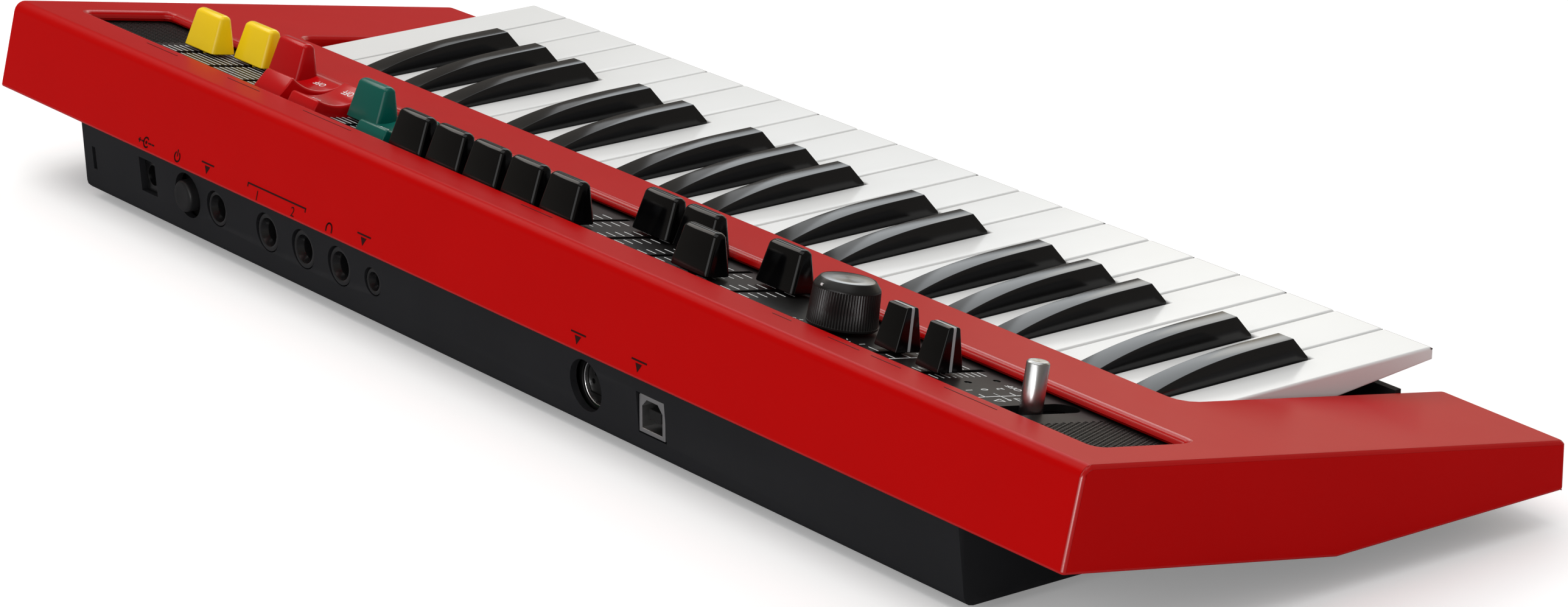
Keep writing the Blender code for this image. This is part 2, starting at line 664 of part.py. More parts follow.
def make_panel():
    plate = rounded_box_outline(PANEL_HALF, (RECESS_FRONT - RECESS_REAR) / 2 + PANEL_LAP,
                                RECESS_RADIUS, RECESS_MIDDLE)
    panel = add_object("control_panel", prism_z(plate, PANEL_UNDER, PANEL_TOP), "panel_black")
    low, high = PANEL_UNDER - CUT_PAST, PANEL_TOP + CUT_PAST
    tools = []
    for _, x, _, _ in SLIDERS:
        tools.append(shifted(block(-SLOT_WIDTH / 2, SLOT_WIDTH / 2, -SLOT_HALF, SLOT_HALF, low, high),
                             x, STROKE_MIDDLE))
    half = ROCKER_LENGTH / 2 + ROCKER_SWING_GAP
    for _, x, _, _ in ROCKERS:
        across = ROCKER_WIDTH / 2 + ROCKER_WINDOW_GAP
        tools.append(shifted(block(-across, across, -half, half, low, high), x, ROCKER_MIDDLE))
    tools.append(prism_z(circle(DIAL_X, DIAL_PLACE, DIAL_SHAFT_RADIUS + SLIDE_GAP), low, high))
    for along in LED_PLACES:
        tools.append(prism_z(circle(LED_X, along, LED_RADIUS + SEAT_GAP, 12), low, high))
    lever_half = (LEVER_SLOT_REAR - LEVER_SLOT_FRONT) / 2
    obround = rounded_box_outline(LEVER_SLOT_WIDTH / 2, lever_half, 0.98 * LEVER_SLOT_WIDTH / 2, 0.0, 6)
    tools.append(shifted(prism_z(obround, low, high), LEVER_X, (LEVER_SLOT_REAR + LEVER_SLOT_FRONT) / 2))
    for side in (-1, 1):
        for i in range(GRILLE_SLOTS):
            x = side * GRILLE_MIDDLE + (i - (GRILLE_SLOTS - 1) / 2) * GRILLE_PITCH
            slot = block(-GRILLE_SLOT_WIDTH / 2, GRILLE_SLOT_WIDTH / 2, -GRILLE_LENGTH / 2,
                         GRILLE_LENGTH / 2, low, high)
            tools.append(shifted(slot, x, RECESS_MIDDLE))
    cut(panel, tools)
    return stand_on_deck(panel, 0.0, 0.0)


def stem(top):
    """The blade that reaches from a control into its potentiometer."""
    half = SLOT_WIDTH / 2 - SLIDE_GAP
    return block(-half, half, -STEM_LENGTH / 2, STEM_LENGTH / 2, POT_TOP - STEM_REACH, top)


def make_slider(name, x, along, finish, width, top_width):
    """A pyramid cap with a blade stem."""
    rings = []
    for rise, inset in ((CAP_BASE, 0.0), (CAP_RISE - CAP_ROUND, 0.0), (CAP_RISE, CAP_ROUND)):
        part = (rise - CAP_BASE) / (CAP_RISE - CAP_BASE)
        half_x = (width + (top_width - width) * part) / 2 - inset
        half_y = (CAP_LENGTH + (CAP_TOP_LENGTH - CAP_LENGTH) * part) / 2 - inset
        rings.append([(px, py, rise) for px, py in rounded_box_outline(half_x, half_y, CAP_ROUND)])
    cap = add_object(name, loft(rings), finish)
    join(cap, [stem(CAP_BASE + CAP_LIFT)])
    return stand_on_deck(cap, x, along)


def make_rocker(name, x, finish, lean):
    """A tab with a dished top that tips about a pin under the panel."""
    half = ROCKER_LENGTH / 2
    ridge = ROCKER_RIDGE_SPAN / 2
    crest = ROCKER_RISE - ROCKER_PIVOT
    low = ROCKER_UNDER - ROCKER_PIVOT
    waist = PANEL_TOP - ROCKER_PIVOT
    steps = 8
    top = []
    for i in range(steps + 1):
        across = ridge * (1 - 2 * i / steps)
        top.append((across, crest - ROCKER_DIP * (1 - (across / ridge) ** 2)))
    rings = []
    flank = ROCKER_WIDTH / 2
    for side, drop in ((-flank, ROCKER_TOP_INSET), (ROCKER_TOP_INSET - flank, 0.0),
                       (flank - ROCKER_TOP_INSET, 0.0), (flank, ROCKER_TOP_INSET)):
        outline = [(-half, low), (half, low), (half, waist)]
        outline += [(y, z - drop) for y, z in top] + [(-half, waist)]
        rings.append([(side, y, z) for y, z in outline])
    rocker = add_object(name, loft(rings), finish)
    reach = flank + ROCKER_PIN_LENGTH
    join(rocker, [prism_x(circle(0, 0, ROCKER_PIN_RADIUS, 16), -reach, reach)])
    rocker.data.transform(Matrix.Rotation(lean * ROCKER_TILT, 4, "X"))
    return stand_on_deck(rocker, x, ROCKER_MIDDLE, ROCKER_PIVOT)


def make_dial():
    body = turned([(DIAL_RADIUS, CAP_BASE), (DIAL_TOP_RADIUS, DIAL_RISE - DIAL_SHOULDER),
                   (DIAL_FACE_RADIUS, DIAL_RISE)], 2 * DIAL_RIBS, DIAL_RIB)
    dial = add_object("wave_dial", body, "cap_black")
    ends = (POT_TOP - STEM_REACH, CAP_BASE + CAP_LIFT)
    join(dial, [turned([(DIAL_SHAFT_RADIUS, height) for height in ends], 24)])
    return stand_on_deck(dial, DIAL_X, DIAL_PLACE)


def make_lever():
    """The round speed lever with the shoe that covers its slot."""
    shoe_top = PANEL_UNDER - SEAT_GAP
    profile = [(LEVER_RADIUS, shoe_top - OVERLAP), (LEVER_RADIUS, LEVER_RISE - 2 * CAP_ROUND),
               (LEVER_RADIUS - CAP_ROUND / 2, LEVER_RISE - CAP_ROUND / 2), (LEVER_RADIUS / 2, LEVER_RISE)]
    lever = add_object("speed_lever", turned(profile, 20), "aluminium")
    half = LEVER_SHOE_WIDTH / 2
    shoe_under = shoe_top - LEVER_SHOE_THICKNESS
    join(lever, [block(-half, half, -LEVER_SHOE_HALF, LEVER_SHOE_HALF, shoe_under, shoe_top)])
    join(lever, [stem(shoe_top - OVERLAP)])
    return stand_on_deck(lever, LEVER_X, LEVER_PLACE)


def hinge_groove(x_low, x_high):
    """The round groove with which a key sits on the hinge bar."""
    return prism_x(circle(HINGE_Y, HINGE_Z, HINGE_RADIUS + SEAT_GAP, 16), x_low - CUT_PAST, x_high + CUT_PAST)


def own_origin(made, x):
    """Move a key's origin onto its hinge axis."""
    made.data.transform(Matrix.Translation((-x, -HINGE_Y, -HINGE_Z)))
    made.location = (x, HINGE_Y, HINGE_Z)
    return made


def black_centres():
    """Centre of each black key, by the number of the white key to its left."""
    centres = {}
    for start in range(0, WHITE_COUNT - 1, OCTAVE):
        for place, shift in BLACK_PLACES:
            centres[start + place] = KEYBED_LEFT + (start + place) * KEY_PITCH + shift
    return centres


def make_white_key(index, centres):
    left = KEYBED_LEFT + index * KEY_PITCH + KEY_GAP / 2
    right = left + KEY_PITCH - KEY_GAP
    side = rounded([(KEY_FRONT, KEY_TOP - KEY_LIP, 0.0), (KEY_FRONT + KEY_TAPER, HINGE_Z, 0.0),
                    (KEY_TAIL, HINGE_Z, 0.0), (KEY_TAIL, KEY_TOP, 0.0), (KEY_FRONT, KEY_TOP, KEY_ROUND)])
    key = add_object(f"white_key_{index + 1:02d}", prism_x(side, left, right), "key_white")
    reach = BLACK_WIDTH / 2 + BLACK_SIDE_GAP
    tools = [hinge_groove(left, right)]
    front, rear = BLACK_FRONT - BLACK_FRONT_GAP, KEY_TAIL + CUT_PAST
    low, high = HINGE_Z - CUT_PAST, KEY_TOP + CUT_PAST
    if index in centres:
        tools.append(block(left - CUT_PAST, centres[index] + reach, front, rear, low, high))
    if index + 1 in centres:
        tools.append(block(centres[index + 1] - reach, right + CUT_PAST, front, rear, low, high))
    for tool in tools:
        cut(key, [tool])
    return own_origin(key, (left + right) / 2)


def black_key_body(x):
    """One black key with the arm that runs under the deck to the comb bar."""
    length = BAY_Y - BLACK_FRONT
    arm = KEY_TOP - OVERLAP
    stations = [(BLACK_FRONT, KEY_TOP + OVERLAP, BLACK_WIDTH),
                (BLACK_FRONT + BLACK_NOSE, KEY_TOP + BLACK_RISE, BLACK_WIDTH)]
    for part, share in ((0.35, 0.99), (0.6, 0.84), (0.82, 0.52), (1.0, 0.13)):
        stations.append((BLACK_FRONT + part * length, KEY_TOP + share * BLACK_RISE, BLACK_WIDTH))
    stations.append((BAY_Y + 2 * BLACK_NOSE, arm, BLACK_ARM_WIDTH))
    stations.append((COMB_BAR_Y, arm, BLACK_ARM_WIDTH))
    rings = []
    for y, top, width in stations:
        share = min(max((top - KEY_TOP) / BLACK_RISE, 0.0), 1.0)
        half = width / 2
        narrow = half - (BLACK_WIDTH - BLACK_TOP_WIDTH) / 2 * share
        shoulder = min(KEY_TOP, top - OVERLAP)
        rings.append([(x - half, y, BLACK_UNDER), (x + half, y, BLACK_UNDER), (x + half, y, shoulder),
                      (x + narrow, y, top), (x - narrow, y, top), (x - half, y, shoulder)])
    return loft(rings)


def make_black_comb(number, centres):
    """Five black keys of an octave on the bar that joins them at the rear."""
    start = number * OCTAVE
    places = [centres[start + place] for place, _ in BLACK_PLACES]
    reach = BLACK_ARM_WIDTH / 2 + OVERLAP
    bar = block(places[0] - reach, places[-1] + reach, COMB_BAR_Y - COMB_BAR_LENGTH / 2,
                COMB_BAR_Y + COMB_BAR_LENGTH / 2, HINGE_Z, HINGE_Z + COMB_BAR_DEPTH)
    comb = add_object(f"black_keys_{number + 1}", bar, "key_black")
    join(comb, [black_key_body(x) for x in places])
    cut(comb, [hinge_groove(places[0] - BLACK_WIDTH, places[-1] + BLACK_WIDTH)])
    return own_origin(comb, places[2])


def make_key_frame():
    """Floor plate with the hinge bar at the rear and the stop under the keys."""
    low = BASE_INSIDE + SEAT_GAP
    high = low + FRAME_THICKNESS
    web = FRAME_WEB / 2
    start = -math.acos(web / HINGE_RADIUS)
    turn = math.pi - 2 * start
    steps = 14
    angles = [start + turn * i / steps for i in range(steps + 1)]
    bar = [(HINGE_Y + HINGE_RADIUS * math.cos(a), HINGE_Z + HINGE_RADIUS * math.sin(a)) for a in angles]
    stop = FRAME_THICKNESS / 2
    outline = [(FRAME_FRONT, low), (FRAME_REAR, low), (FRAME_REAR, high), (HINGE_Y + web, high)] + bar
    outline += [(HINGE_Y - web, high), (FRAME_STOP_Y + stop, high), (FRAME_STOP_Y + stop, FRAME_STOP_TOP),
                (FRAME_STOP_Y - stop, FRAME_STOP_TOP), (FRAME_STOP_Y - stop, high), (FRAME_FRONT, high)]
    return add_object("key_frame", prism_x(outline, -FRAME_HALF_WIDTH, FRAME_HALF_WIDTH), "frame_grey")


def make_board(name, ends, front):
    """A circuit board standing on four pillars on the floor of the case."""
    board = add_object(name, block(ends[0], ends[1], front, BOARD_REAR, BOARD_Z, BOARD_TOP), "board_green")
    pillars = []
    for x in (ends[0] + 2 * PILLAR_RADIUS, ends[1] - 2 * PILLAR_RADIUS):
        for y in (front + 2 * PILLAR_RADIUS, BOARD_REAR - 2 * PILLAR_RADIUS):
            outline = circle(x, y, PILLAR_RADIUS, 12)
            pillars.append(prism_z(outline, BASE_INSIDE + SEAT_GAP, BOARD_Z + OVERLAP))
    return join(board, pillars)


def socket_body(x, half_width):
    return block(x - half_width, x + half_width, SOCKET_BODY_FACE - SOCKET_BODY_DEPTH, SOCKET_BODY_FACE,
                 BOARD_Z + OVERLAP, SOCKET_BODY_TOP)


def make_jack_board():
    """The board with the power inlet, the power switch and the audio sockets."""
    board = make_board("jack_board", JACK_BOARD_ENDS, JACK_BOARD_FRONT)
    half = JACK_BODY_WIDTH / 2
    join(board, [socket_body(x, half) for x, _ in JACKS])
    join(board, [socket_body(AUX_X, AUX_RADIUS + CUT_PAST), socket_body(POWER_X, POWER_RECESS)])
    inlet_half = INLET_WIDTH / 2 - SEAT_GAP
    inlet_low = SOCKET_Z - INLET_HEIGHT / 2 + SEAT_GAP
    body_rear = SOCKET_BODY_FACE - SOCKET_BODY_DEPTH
    inlet = block(INLET_X - inlet_half, INLET_X + inlet_half, body_rear, SOCKET_FACE - INLET_SETBACK,
                  inlet_low, SOCKET_Z + INLET_HEIGHT / 2 - SEAT_GAP)
    inlet_foot = block(INLET_X - inlet_half + CUT_PAST, INLET_X + inlet_half - CUT_PAST, body_rear + CUT_PAST,
                       BOARD_REAR - CUT_PAST, BOARD_Z + OVERLAP, inlet_low + CUT_PAST)
    collars = [prism_y(circle(x, SOCKET_Z, radius), SOCKET_BODY_FACE - CUT_PAST, SOCKET_FACE)
               for x, radius in JACKS + ((AUX_X, AUX_RADIUS),)]
    join(board, collars)
    join(board, [inlet_foot])
    join(board, [inlet])
    deep = SOCKET_FACE - JACK_BORE_DEPTH
    bores = [prism_y(circle(x, SOCKET_Z, JACK_BORE), deep, SOCKET_FACE + CUT_PAST) for x, _ in JACKS]
    bores.append(prism_y(circle(AUX_X, SOCKET_Z, AUX_BORE, 16), deep, SOCKET_FACE + CUT_PAST))
    bores.append(prism_y(circle(INLET_X, SOCKET_Z, INLET_BORE), deep, SOCKET_FACE + CUT_PAST))
    button_end = SOCKET_FACE + POWER_PROUD - POWER_LENGTH - POWER_TRAVEL - SLIDE_GAP
    bores.append(prism_y(circle(POWER_X, SOCKET_Z, POWER_RADIUS + SEAT_GAP), button_end, SOCKET_FACE))
    cut(board, bores)
    return join(board, [prism_y(circle(INLET_X, SOCKET_Z, INLET_PIN, 12), deep - CUT_PAST,
                                SOCKET_FACE - 2 * INLET_SETBACK)])


def make_power_button():
    profile = [(POWER_RADIUS, -POWER_LENGTH), (POWER_RADIUS, -CAP_ROUND), (POWER_RADIUS - CAP_ROUND, 0.0)]
    bm = turned(profile, 24)
    for vert in bm.verts:
        vert.co = Vector((vert.co.x, vert.co.z, vert.co.y))
    button = add_object("power_button", bm, "cap_black")
    button.location = (POWER_X, SOCKET_FACE + POWER_PROUD, SOCKET_Z)
    return button


def make_main_board():
    """The board with the processor, the round data socket and the square one."""
    board = make_board("main_board", MAIN_BOARD_ENDS, MAIN_BOARD_FRONT)
    face = SOCKET_BODY_FACE
    half = MIDI_RADIUS - CUT_PAST
    chip_x = MAIN_BOARD_ENDS[0] + CHIP_SIZE
    chip_y = MAIN_BOARD_FRONT + CHIP_SIZE / 2
    join(board, [block(MIDI_X - half, MIDI_X + half, face - SOCKET_BODY_DEPTH + CUT_PAST, face - CUT_PAST,
                       BOARD_Z + OVERLAP, MIDI_Z),
                 block(chip_x, chip_x + CHIP_SIZE, chip_y, chip_y + CHIP_SIZE,
                       BOARD_TOP - OVERLAP, BOARD_TOP + CHIP_HEIGHT)])
    join(board, [prism_y(circle(MIDI_X, MIDI_Z, MIDI_RADIUS), face - SOCKET_BODY_DEPTH, face)])
    groove_end = face - JACK_BORE_DEPTH / 2
    ring = add_object("ring", prism_y(circle(MIDI_X, MIDI_Z, MIDI_GROOVE), groove_end, face + CUT_PAST))
    cut(ring, [prism_y(circle(MIDI_X, MIDI_Z, MIDI_INSERT), groove_end - CUT_PAST, face + 2 * CUT_PAST)])
    combine(board, ring, "DIFFERENCE")
    holes = []
    for i in range(MIDI_PINS):
        angle = math.pi * i / (MIDI_PINS - 1)
        x = MIDI_X + MIDI_PIN_CIRCLE * math.cos(angle)
        z = MIDI_Z + MIDI_PIN_CIRCLE * math.sin(angle) - MIDI_PIN_HOLE
        holes.append(prism_y(circle(x, z, MIDI_PIN_HOLE, 8), groove_end, face + CUT_PAST))
    cut(board, holes)
    root_face = SOCKET_FACE - USB_LENGTH - SEAT_GAP
    join(board, [block(USB_X - USB_WIDTH / 2, USB_X + USB_WIDTH / 2, root_face - 2 * CUT_PAST, root_face,
                       BOARD_Z + OVERLAP, USB_Z + USB_HEIGHT / 2)])
    half_x, half_z = USB_TONGUE_WIDTH / 2, USB_TONGUE_HEIGHT / 2
    return join(board, [block(USB_X - half_x, USB_X + half_x, root_face - CUT_PAST, SOCKET_FACE - CUT_PAST,
                              USB_Z - half_z, USB_Z + half_z)])


def usb_outline(inset, slant):
    """The square socket outline with its two upper corners cut off."""
    half = USB_WIDTH / 2 - inset
    low = USB_Z - USB_HEIGHT / 2 + inset
    high = USB_Z + USB_HEIGHT / 2 - inset
    return [(USB_X - half, low), (USB_X + half, low), (USB_X + half, high - slant),
            (USB_X + half - slant, high), (USB_X - half + slant, high), (USB_X - half, high - slant)]


def make_usb_shell():
    rear = SOCKET_FACE - USB_LENGTH
    shell = add_object("usb_shell", prism_y(usb_outline(0.0, OVERLAP), rear, SOCKET_FACE), "steel")
    return cut(shell, [prism_y(usb_outline(USB_RIM, USB_CHAMFER), rear - CUT_PAST, SOCKET_FACE + CUT_PAST)])


def make_panel_board():
    """The board under the panel with a potentiometer for each control."""
    board = add_object("panel_board", block(-PANEL_BOARD_HALF, PANEL_BOARD_HALF, PANEL_BOARD_FRONT,
                                            PANEL_BOARD_REAR, PANEL_BOARD_TOP - BOARD_THICKNESS,
                                            PANEL_BOARD_TOP), "board_green")
    low = PANEL_BOARD_TOP - OVERLAP
    places = [x for _, x, _, _ in SLIDERS] + [LEVER_X]
    half = SLOT_HALF + POT_WALL
    bodies = [block(x - POT_WIDTH / 2, x + POT_WIDTH / 2, STROKE_MIDDLE - half, STROKE_MIDDLE + half,
                    low, POT_TOP) for x in places]
    bodies.append(prism_z(circle(DIAL_X, DIAL_PLACE, DIAL_POT_RADIUS), low, POT_TOP))
    bodies += [prism_z(circle(LED_X, along, LED_RADIUS, 12), low, PANEL_TOP - SEAT_GAP)
               for along in LED_PLACES]
    bodies += [prism_z(circle(x, RECESS_MIDDLE, PILLAR_RADIUS, 12), low, PANEL_UNDER - SEAT_GAP)
               for x in PANEL_PILLAR_X]
    join(board, bodies)
    reach = ROCKER_WIDTH / 2 + POST_THICKNESS + CUT_PAST
    for _, x, _, _ in ROCKERS:
        for side in (-1, 1):
            near = x + side * (ROCKER_WIDTH / 2 + SEAT_GAP)
            far = near + side * POST_THICKNESS
            join(board, [block(min(near, far), max(near, far), ROCKER_MIDDLE - POST_HALF,
                               ROCKER_MIDDLE + POST_HALF, low, POST_TOP)])
    for _, x, _, _ in ROCKERS:
        cut(board, [prism_x(circle(ROCKER_MIDDLE, ROCKER_PIVOT, ROCKER_PIN_RADIUS + SEAT_GAP, 16),
                            x - reach, x + reach)])
    floor = POT_TOP - STEM_REACH - SLIDE_GAP
    high = POT_TOP + CUT_PAST
    tools = [block(x - SLOT_WIDTH / 2, x + SLOT_WIDTH / 2, STROKE_MIDDLE - SLOT_HALF,
                   STROKE_MIDDLE + SLOT_HALF, floor, high) for x in places]
    tools.append(prism_z(circle(DIAL_X, DIAL_PLACE, DIAL_SHAFT_RADIUS + SLIDE_GAP), floor, high))
    cut(board, tools)
    return stand_on_deck(board, 0.0, 0.0)


def make_speaker(name, x):
    cone = SPEAKER_RADIUS - SPEAKER_RIM
    magnet, deep = SPEAKER_MAGNET_RADIUS, SPEAKER_DEPTH
    profile = [(magnet, -deep), (magnet, -deep / 2), (SPEAKER_RADIUS, -2 * SPEAKER_RIM), (SPEAKER_RADIUS, 0.0),
               (cone, 0.0), (cone, -SPEAKER_RIM), (magnet / 2, -deep / 3), (magnet / 3, -deep / 4),
               (magnet / 8, -deep / 5)]
    speaker = add_object(name, turned(profile, 32), "speaker_grey")
    return stand_on_deck(speaker, x, RECESS_MIDDLE, PANEL_UNDER - SEAT_GAP)


def make_foot(name, x, y):
    top = BASE_UNDERSIDE - SEAT_GAP
    profile = [(FOOT_RADIUS - FOOT_CHAMFER, 0.0), (FOOT_RADIUS, FOOT_CHAMFER), (FOOT_RADIUS, top)]
    foot = add_object(name, turned(profile, 24), "rubber")
    foot.location = (x, y, 0.0)
    return foot


make_top_case()
make_bottom_case()
make_panel()
line_names = [line[0] for line in LINE_CAPS]
for slider_name, slider_x, slider_along, slider_finish in SLIDERS:
    widths = (CAP_WIDTH, CAP_TOP_WIDTH)
    if slider_name in line_names:
        widths = (NARROW_CAP_WIDTH, NARROW_CAP_TOP_WIDTH)
    make_slider(slider_name, slider_x, slider_along, slider_finish, *widths)
for rocker_name, rocker_x, rocker_finish, rocker_lean in ROCKERS:
    make_rocker(rocker_name, rocker_x, rocker_finish, rocker_lean)
make_dial()
make_lever()
black_keys = black_centres()
for key_index in range(WHITE_COUNT):
    make_white_key(key_index, black_keys)
for comb_index in range((WHITE_COUNT - 1) // OCTAVE):
    make_black_comb(comb_index, black_keys)
make_key_frame()
make_jack_board()
make_power_button()
make_main_board()
make_usb_shell()
make_panel_board()
make_speaker("speaker_left", -GRILLE_MIDDLE)
make_speaker("speaker_right", GRILLE_MIDDLE)
foot_number = 0
for foot_x in (-FOOT_X, FOOT_X):
    for foot_y in (FOOT_FRONT, FOOT_REAR):
        foot_number += 1
        make_foot(f"foot_{foot_number}", foot_x, foot_y)
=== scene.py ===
"""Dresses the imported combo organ: finer pieces, finishes, floor, lamps and camera.

Lengths are written in millimetres and turned into metres by MM. A place on the
sloping deck is given as (x, along, rise): along runs up the slope from its rear
top edge, and rise stands square to it. Lamps are placed in metres.
"""
import math

import bmesh
import bpy
from mathutils import Matrix, Vector
from mathutils.geometry import delaunay_2d_cdt


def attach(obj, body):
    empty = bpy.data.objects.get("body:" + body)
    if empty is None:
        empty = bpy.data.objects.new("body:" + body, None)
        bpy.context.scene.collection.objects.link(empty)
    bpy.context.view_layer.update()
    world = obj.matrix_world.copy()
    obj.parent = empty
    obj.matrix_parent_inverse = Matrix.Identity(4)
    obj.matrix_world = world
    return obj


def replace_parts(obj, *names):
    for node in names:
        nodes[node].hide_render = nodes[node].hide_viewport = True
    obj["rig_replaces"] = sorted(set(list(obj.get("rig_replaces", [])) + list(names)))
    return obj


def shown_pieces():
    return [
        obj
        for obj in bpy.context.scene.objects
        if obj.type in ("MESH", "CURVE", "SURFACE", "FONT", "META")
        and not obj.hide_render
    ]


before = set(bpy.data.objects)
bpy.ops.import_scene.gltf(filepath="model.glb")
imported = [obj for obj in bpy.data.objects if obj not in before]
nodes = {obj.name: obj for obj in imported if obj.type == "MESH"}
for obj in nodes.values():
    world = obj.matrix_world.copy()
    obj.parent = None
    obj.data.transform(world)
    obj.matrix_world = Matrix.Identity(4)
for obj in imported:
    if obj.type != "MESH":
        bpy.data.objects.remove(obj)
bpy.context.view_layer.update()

MM = 0.001

# Photograph and camera
PHOTO_WIDTH = 2576
FOCAL_PIXELS = 8865.15
SENSOR_WIDTH = 36.0
CAMERA_PLACE = (-1206.72, 878.06, 514.73)
CAMERA_LOOK = (0.75756, -0.56788, -0.32189)
CAMERA_ROLL = math.radians(-0.05)

# Sloping deck and its recess
DECK_TILT = math.radians(10.35)
DECK_REAR_Y = 80.55
DECK_REAR_Z = 54.0
PANEL_TOP = -3.3
PANEL_UNDER = -5.3
PANEL_HALF = 254.6
PANEL_REAR = -12.0
PANEL_FRONT = -53.5
RECESS_MIDDLE = -32.75
STROKE_MIDDLE = -33.05
STROKE_HALF = 12.75
SLOT_WIDTH = 2.2
POT_TOP = -8.0

# Controls: name, place across the case, place along the deck
DRAWBAR_FIRST = 68.1
DRAWBAR_PITCH = 19.5
DRAWBAR_IN = -23.3
DRAWBARS_OUT = (0, 0, 0, 0, 0, 19.3, 19.3, 4.4, 19.3)
WIDE_CAPS = {
    "yellow": (("slider_distortion", 205.6, -36.9), ("slider_reverb", 185.9, -42.8)),
    "cap_red": (("slider_vibrato", 166.0, -42.8),),
    "green": (("slider_percussion", 107.4, -34.4),),
    "cap_black": tuple((f"drawbar_{i + 1}", DRAWBAR_FIRST - DRAWBAR_PITCH * i, DRAWBAR_IN - reach)
                       for i, reach in enumerate(DRAWBARS_OUT)),
}
LINE_CAPS = (("slider_octave", -150.7, -32.3), ("slider_volume", -170.6, -30.4))
# Rocker tabs: name, place across the case, slot, and the way the tab leans
ROCKERS = (("rocker_chorus", 144.0, "cap_red", 1), ("rocker_percussion", 124.6, "cap_red", -1),
           ("rocker_harmonic", 86.9, "green", -1))
DIAL = (-127.4, -31.7)
LEVER = (-206.8, -32.0)
LAMPS_X = -180.4
LAMPS_ALONG = (-32.6, -42.4)


def deck_point(x, along, rise):
    """A point on or above the sloping deck, in metres."""
    y = DECK_REAR_Y + along * math.cos(DECK_TILT) - rise * math.sin(DECK_TILT)
    z = DECK_REAR_Z + along * math.sin(DECK_TILT) + rise * math.cos(DECK_TILT)
    return Vector((x, y, z)) * MM


def deck_place(x, along, rise=0.0):
    """The matrix that stands a piece built about its own origin on the deck."""
    return Matrix.Translation(deck_point(x, along, rise)) @ Matrix.Rotation(DECK_TILT, 4, "X")


# ---------------------------------------------------------------- finishes

FLOAT, COLOUR, VECTOR = "NodeSocketFloat", "NodeSocketColor", "NodeSocketVector"
NOISE_RANGE = (0.3, 0.7)
EDGE_RANGE = (0.53, 0.62)
DRIFT_CLOUDS = 35.0
RUBBED_PATCHES = 220.0
TOOL_SHADE = (0.86, 1.0)
HAND_CLOUD = 0.03
METAL_CLOUD = 0.004


def give(tree, node, values):
    """Sets the inputs of a node, or links them."""
    for key, value in values.items():
        if isinstance(value, bpy.types.NodeSocket):
            tree.links.new(value, node.inputs[key])
        else:
            node.inputs[key].default_value = value


def add(tree, kind, values=None, **settings):
    """A node with its settings and its inputs."""
    made = tree.nodes.new(kind)
    for key, value in settings.items():
        setattr(made, key, value)
    give(tree, made, values or {})
    return made


def maths(tree, operation, *values, **settings):
    """The result of one operation on values or links."""
    made = add(tree, "ShaderNodeMath", dict(enumerate(values)), operation=operation, **settings)
    return made.outputs[0]


def noise(tree, place, scale, detail, **values):
    """Cloudy noise over the surface."""
    values = {"Vector": place, "Scale": scale, "Detail": detail, **values}
    return add(tree, "ShaderNodeTexNoise", values).outputs[0]


def spread(tree, value, source, target=(0.0, 1.0)):
    """A value stretched from one range to another."""
    ends = dict(zip(("From Min", "From Max", "To Min", "To Max"), source + target))
    return add(tree, "ShaderNodeMapRange", {"Value": value, **ends}).outputs[0]


def shaded(tree, colour, level):
    """A colour made lighter or darker by a level."""
    return add(tree, "ShaderNodeVectorMath", {0: colour, 3: level}, operation="SCALE").outputs[0]


def mixed(tree, share, first, second):
    """The first colour where share is 0, the second where it is 1."""
    values = {"Factor": share, 6: first, 7: second}
    return add(tree, "ShaderNodeMix", values, data_type="RGBA").outputs[2]


def node_group(name, fill, inputs, outputs):
    """A node group with named sockets; fill makes its outputs from its inputs."""
    tree = bpy.data.node_groups.new(name, "ShaderNodeTree")
    for side, sockets in (("INPUT", inputs), ("OUTPUT", outputs)):
        for label, kind in sockets.items():
            tree.interface.new_socket(label, in_out=side, socket_type=kind)
    given = tree.nodes.new("NodeGroupInput").outputs
    give(tree, tree.nodes.new("NodeGroupOutput"), fill(tree, given))
    return tree


def fill_grain(tree, given):
    """Fine skin of a moulding, as a height."""
    per_metre = maths(tree, "DIVIDE", 1.0, given["Grain Size"])
    speckle = noise(tree, given["Place"], per_metre, 2.0, Roughness=0.55)
    pits = add(tree, "ShaderNodeTexVoronoi", {"Vector": given["Place"], "Scale": per_metre})
    both = maths(tree, "ADD", speckle, pits.outputs["Distance"])
    return {"Height": maths(tree, "MULTIPLY", both, given["Depth"])}


def fill_marks(tree, given):
    """Soft cloudy changes of gloss where hands and cloths have been."""
    per_metre = maths(tree, "DIVIDE", 1.0, given["Cloud Size"])
    cloud = noise(tree, given["Place"], per_metre, 3.0, Roughness=0.6, Distortion=0.4)
    centred = maths(tree, "SUBTRACT", cloud, 0.5)
    return {"Roughness": maths(tree, "MULTIPLY_ADD", centred, given["Change"], given["Gloss"])}


def fill_drift(tree, given):
    """Slight unevenness of a moulding's colour."""
    cloud = noise(tree, given["Place"], DRIFT_CLOUDS, 4.0)
    swing = spread(tree, cloud, NOISE_RANGE, (-1.0, 1.0))
    level = maths(tree, "MULTIPLY_ADD", swing, given["Drift"], 1.0)
    return {"Colour": shaded(tree, given["Colour"], level)}


def fill_rubbed(tree, given):
    """Edges and raised rims rubbed a shade lighter, in patches."""
    edge = spread(tree, given["Pointiness"], EDGE_RANGE)
    some = maths(tree, "MULTIPLY", edge, noise(tree, given["Place"], RUBBED_PATCHES, 3.0))
    share = maths(tree, "MULTIPLY", some, given["Amount"], use_clamp=True)
    return {"Colour": mixed(tree, share, given["Colour"], given["Rubbed"])}


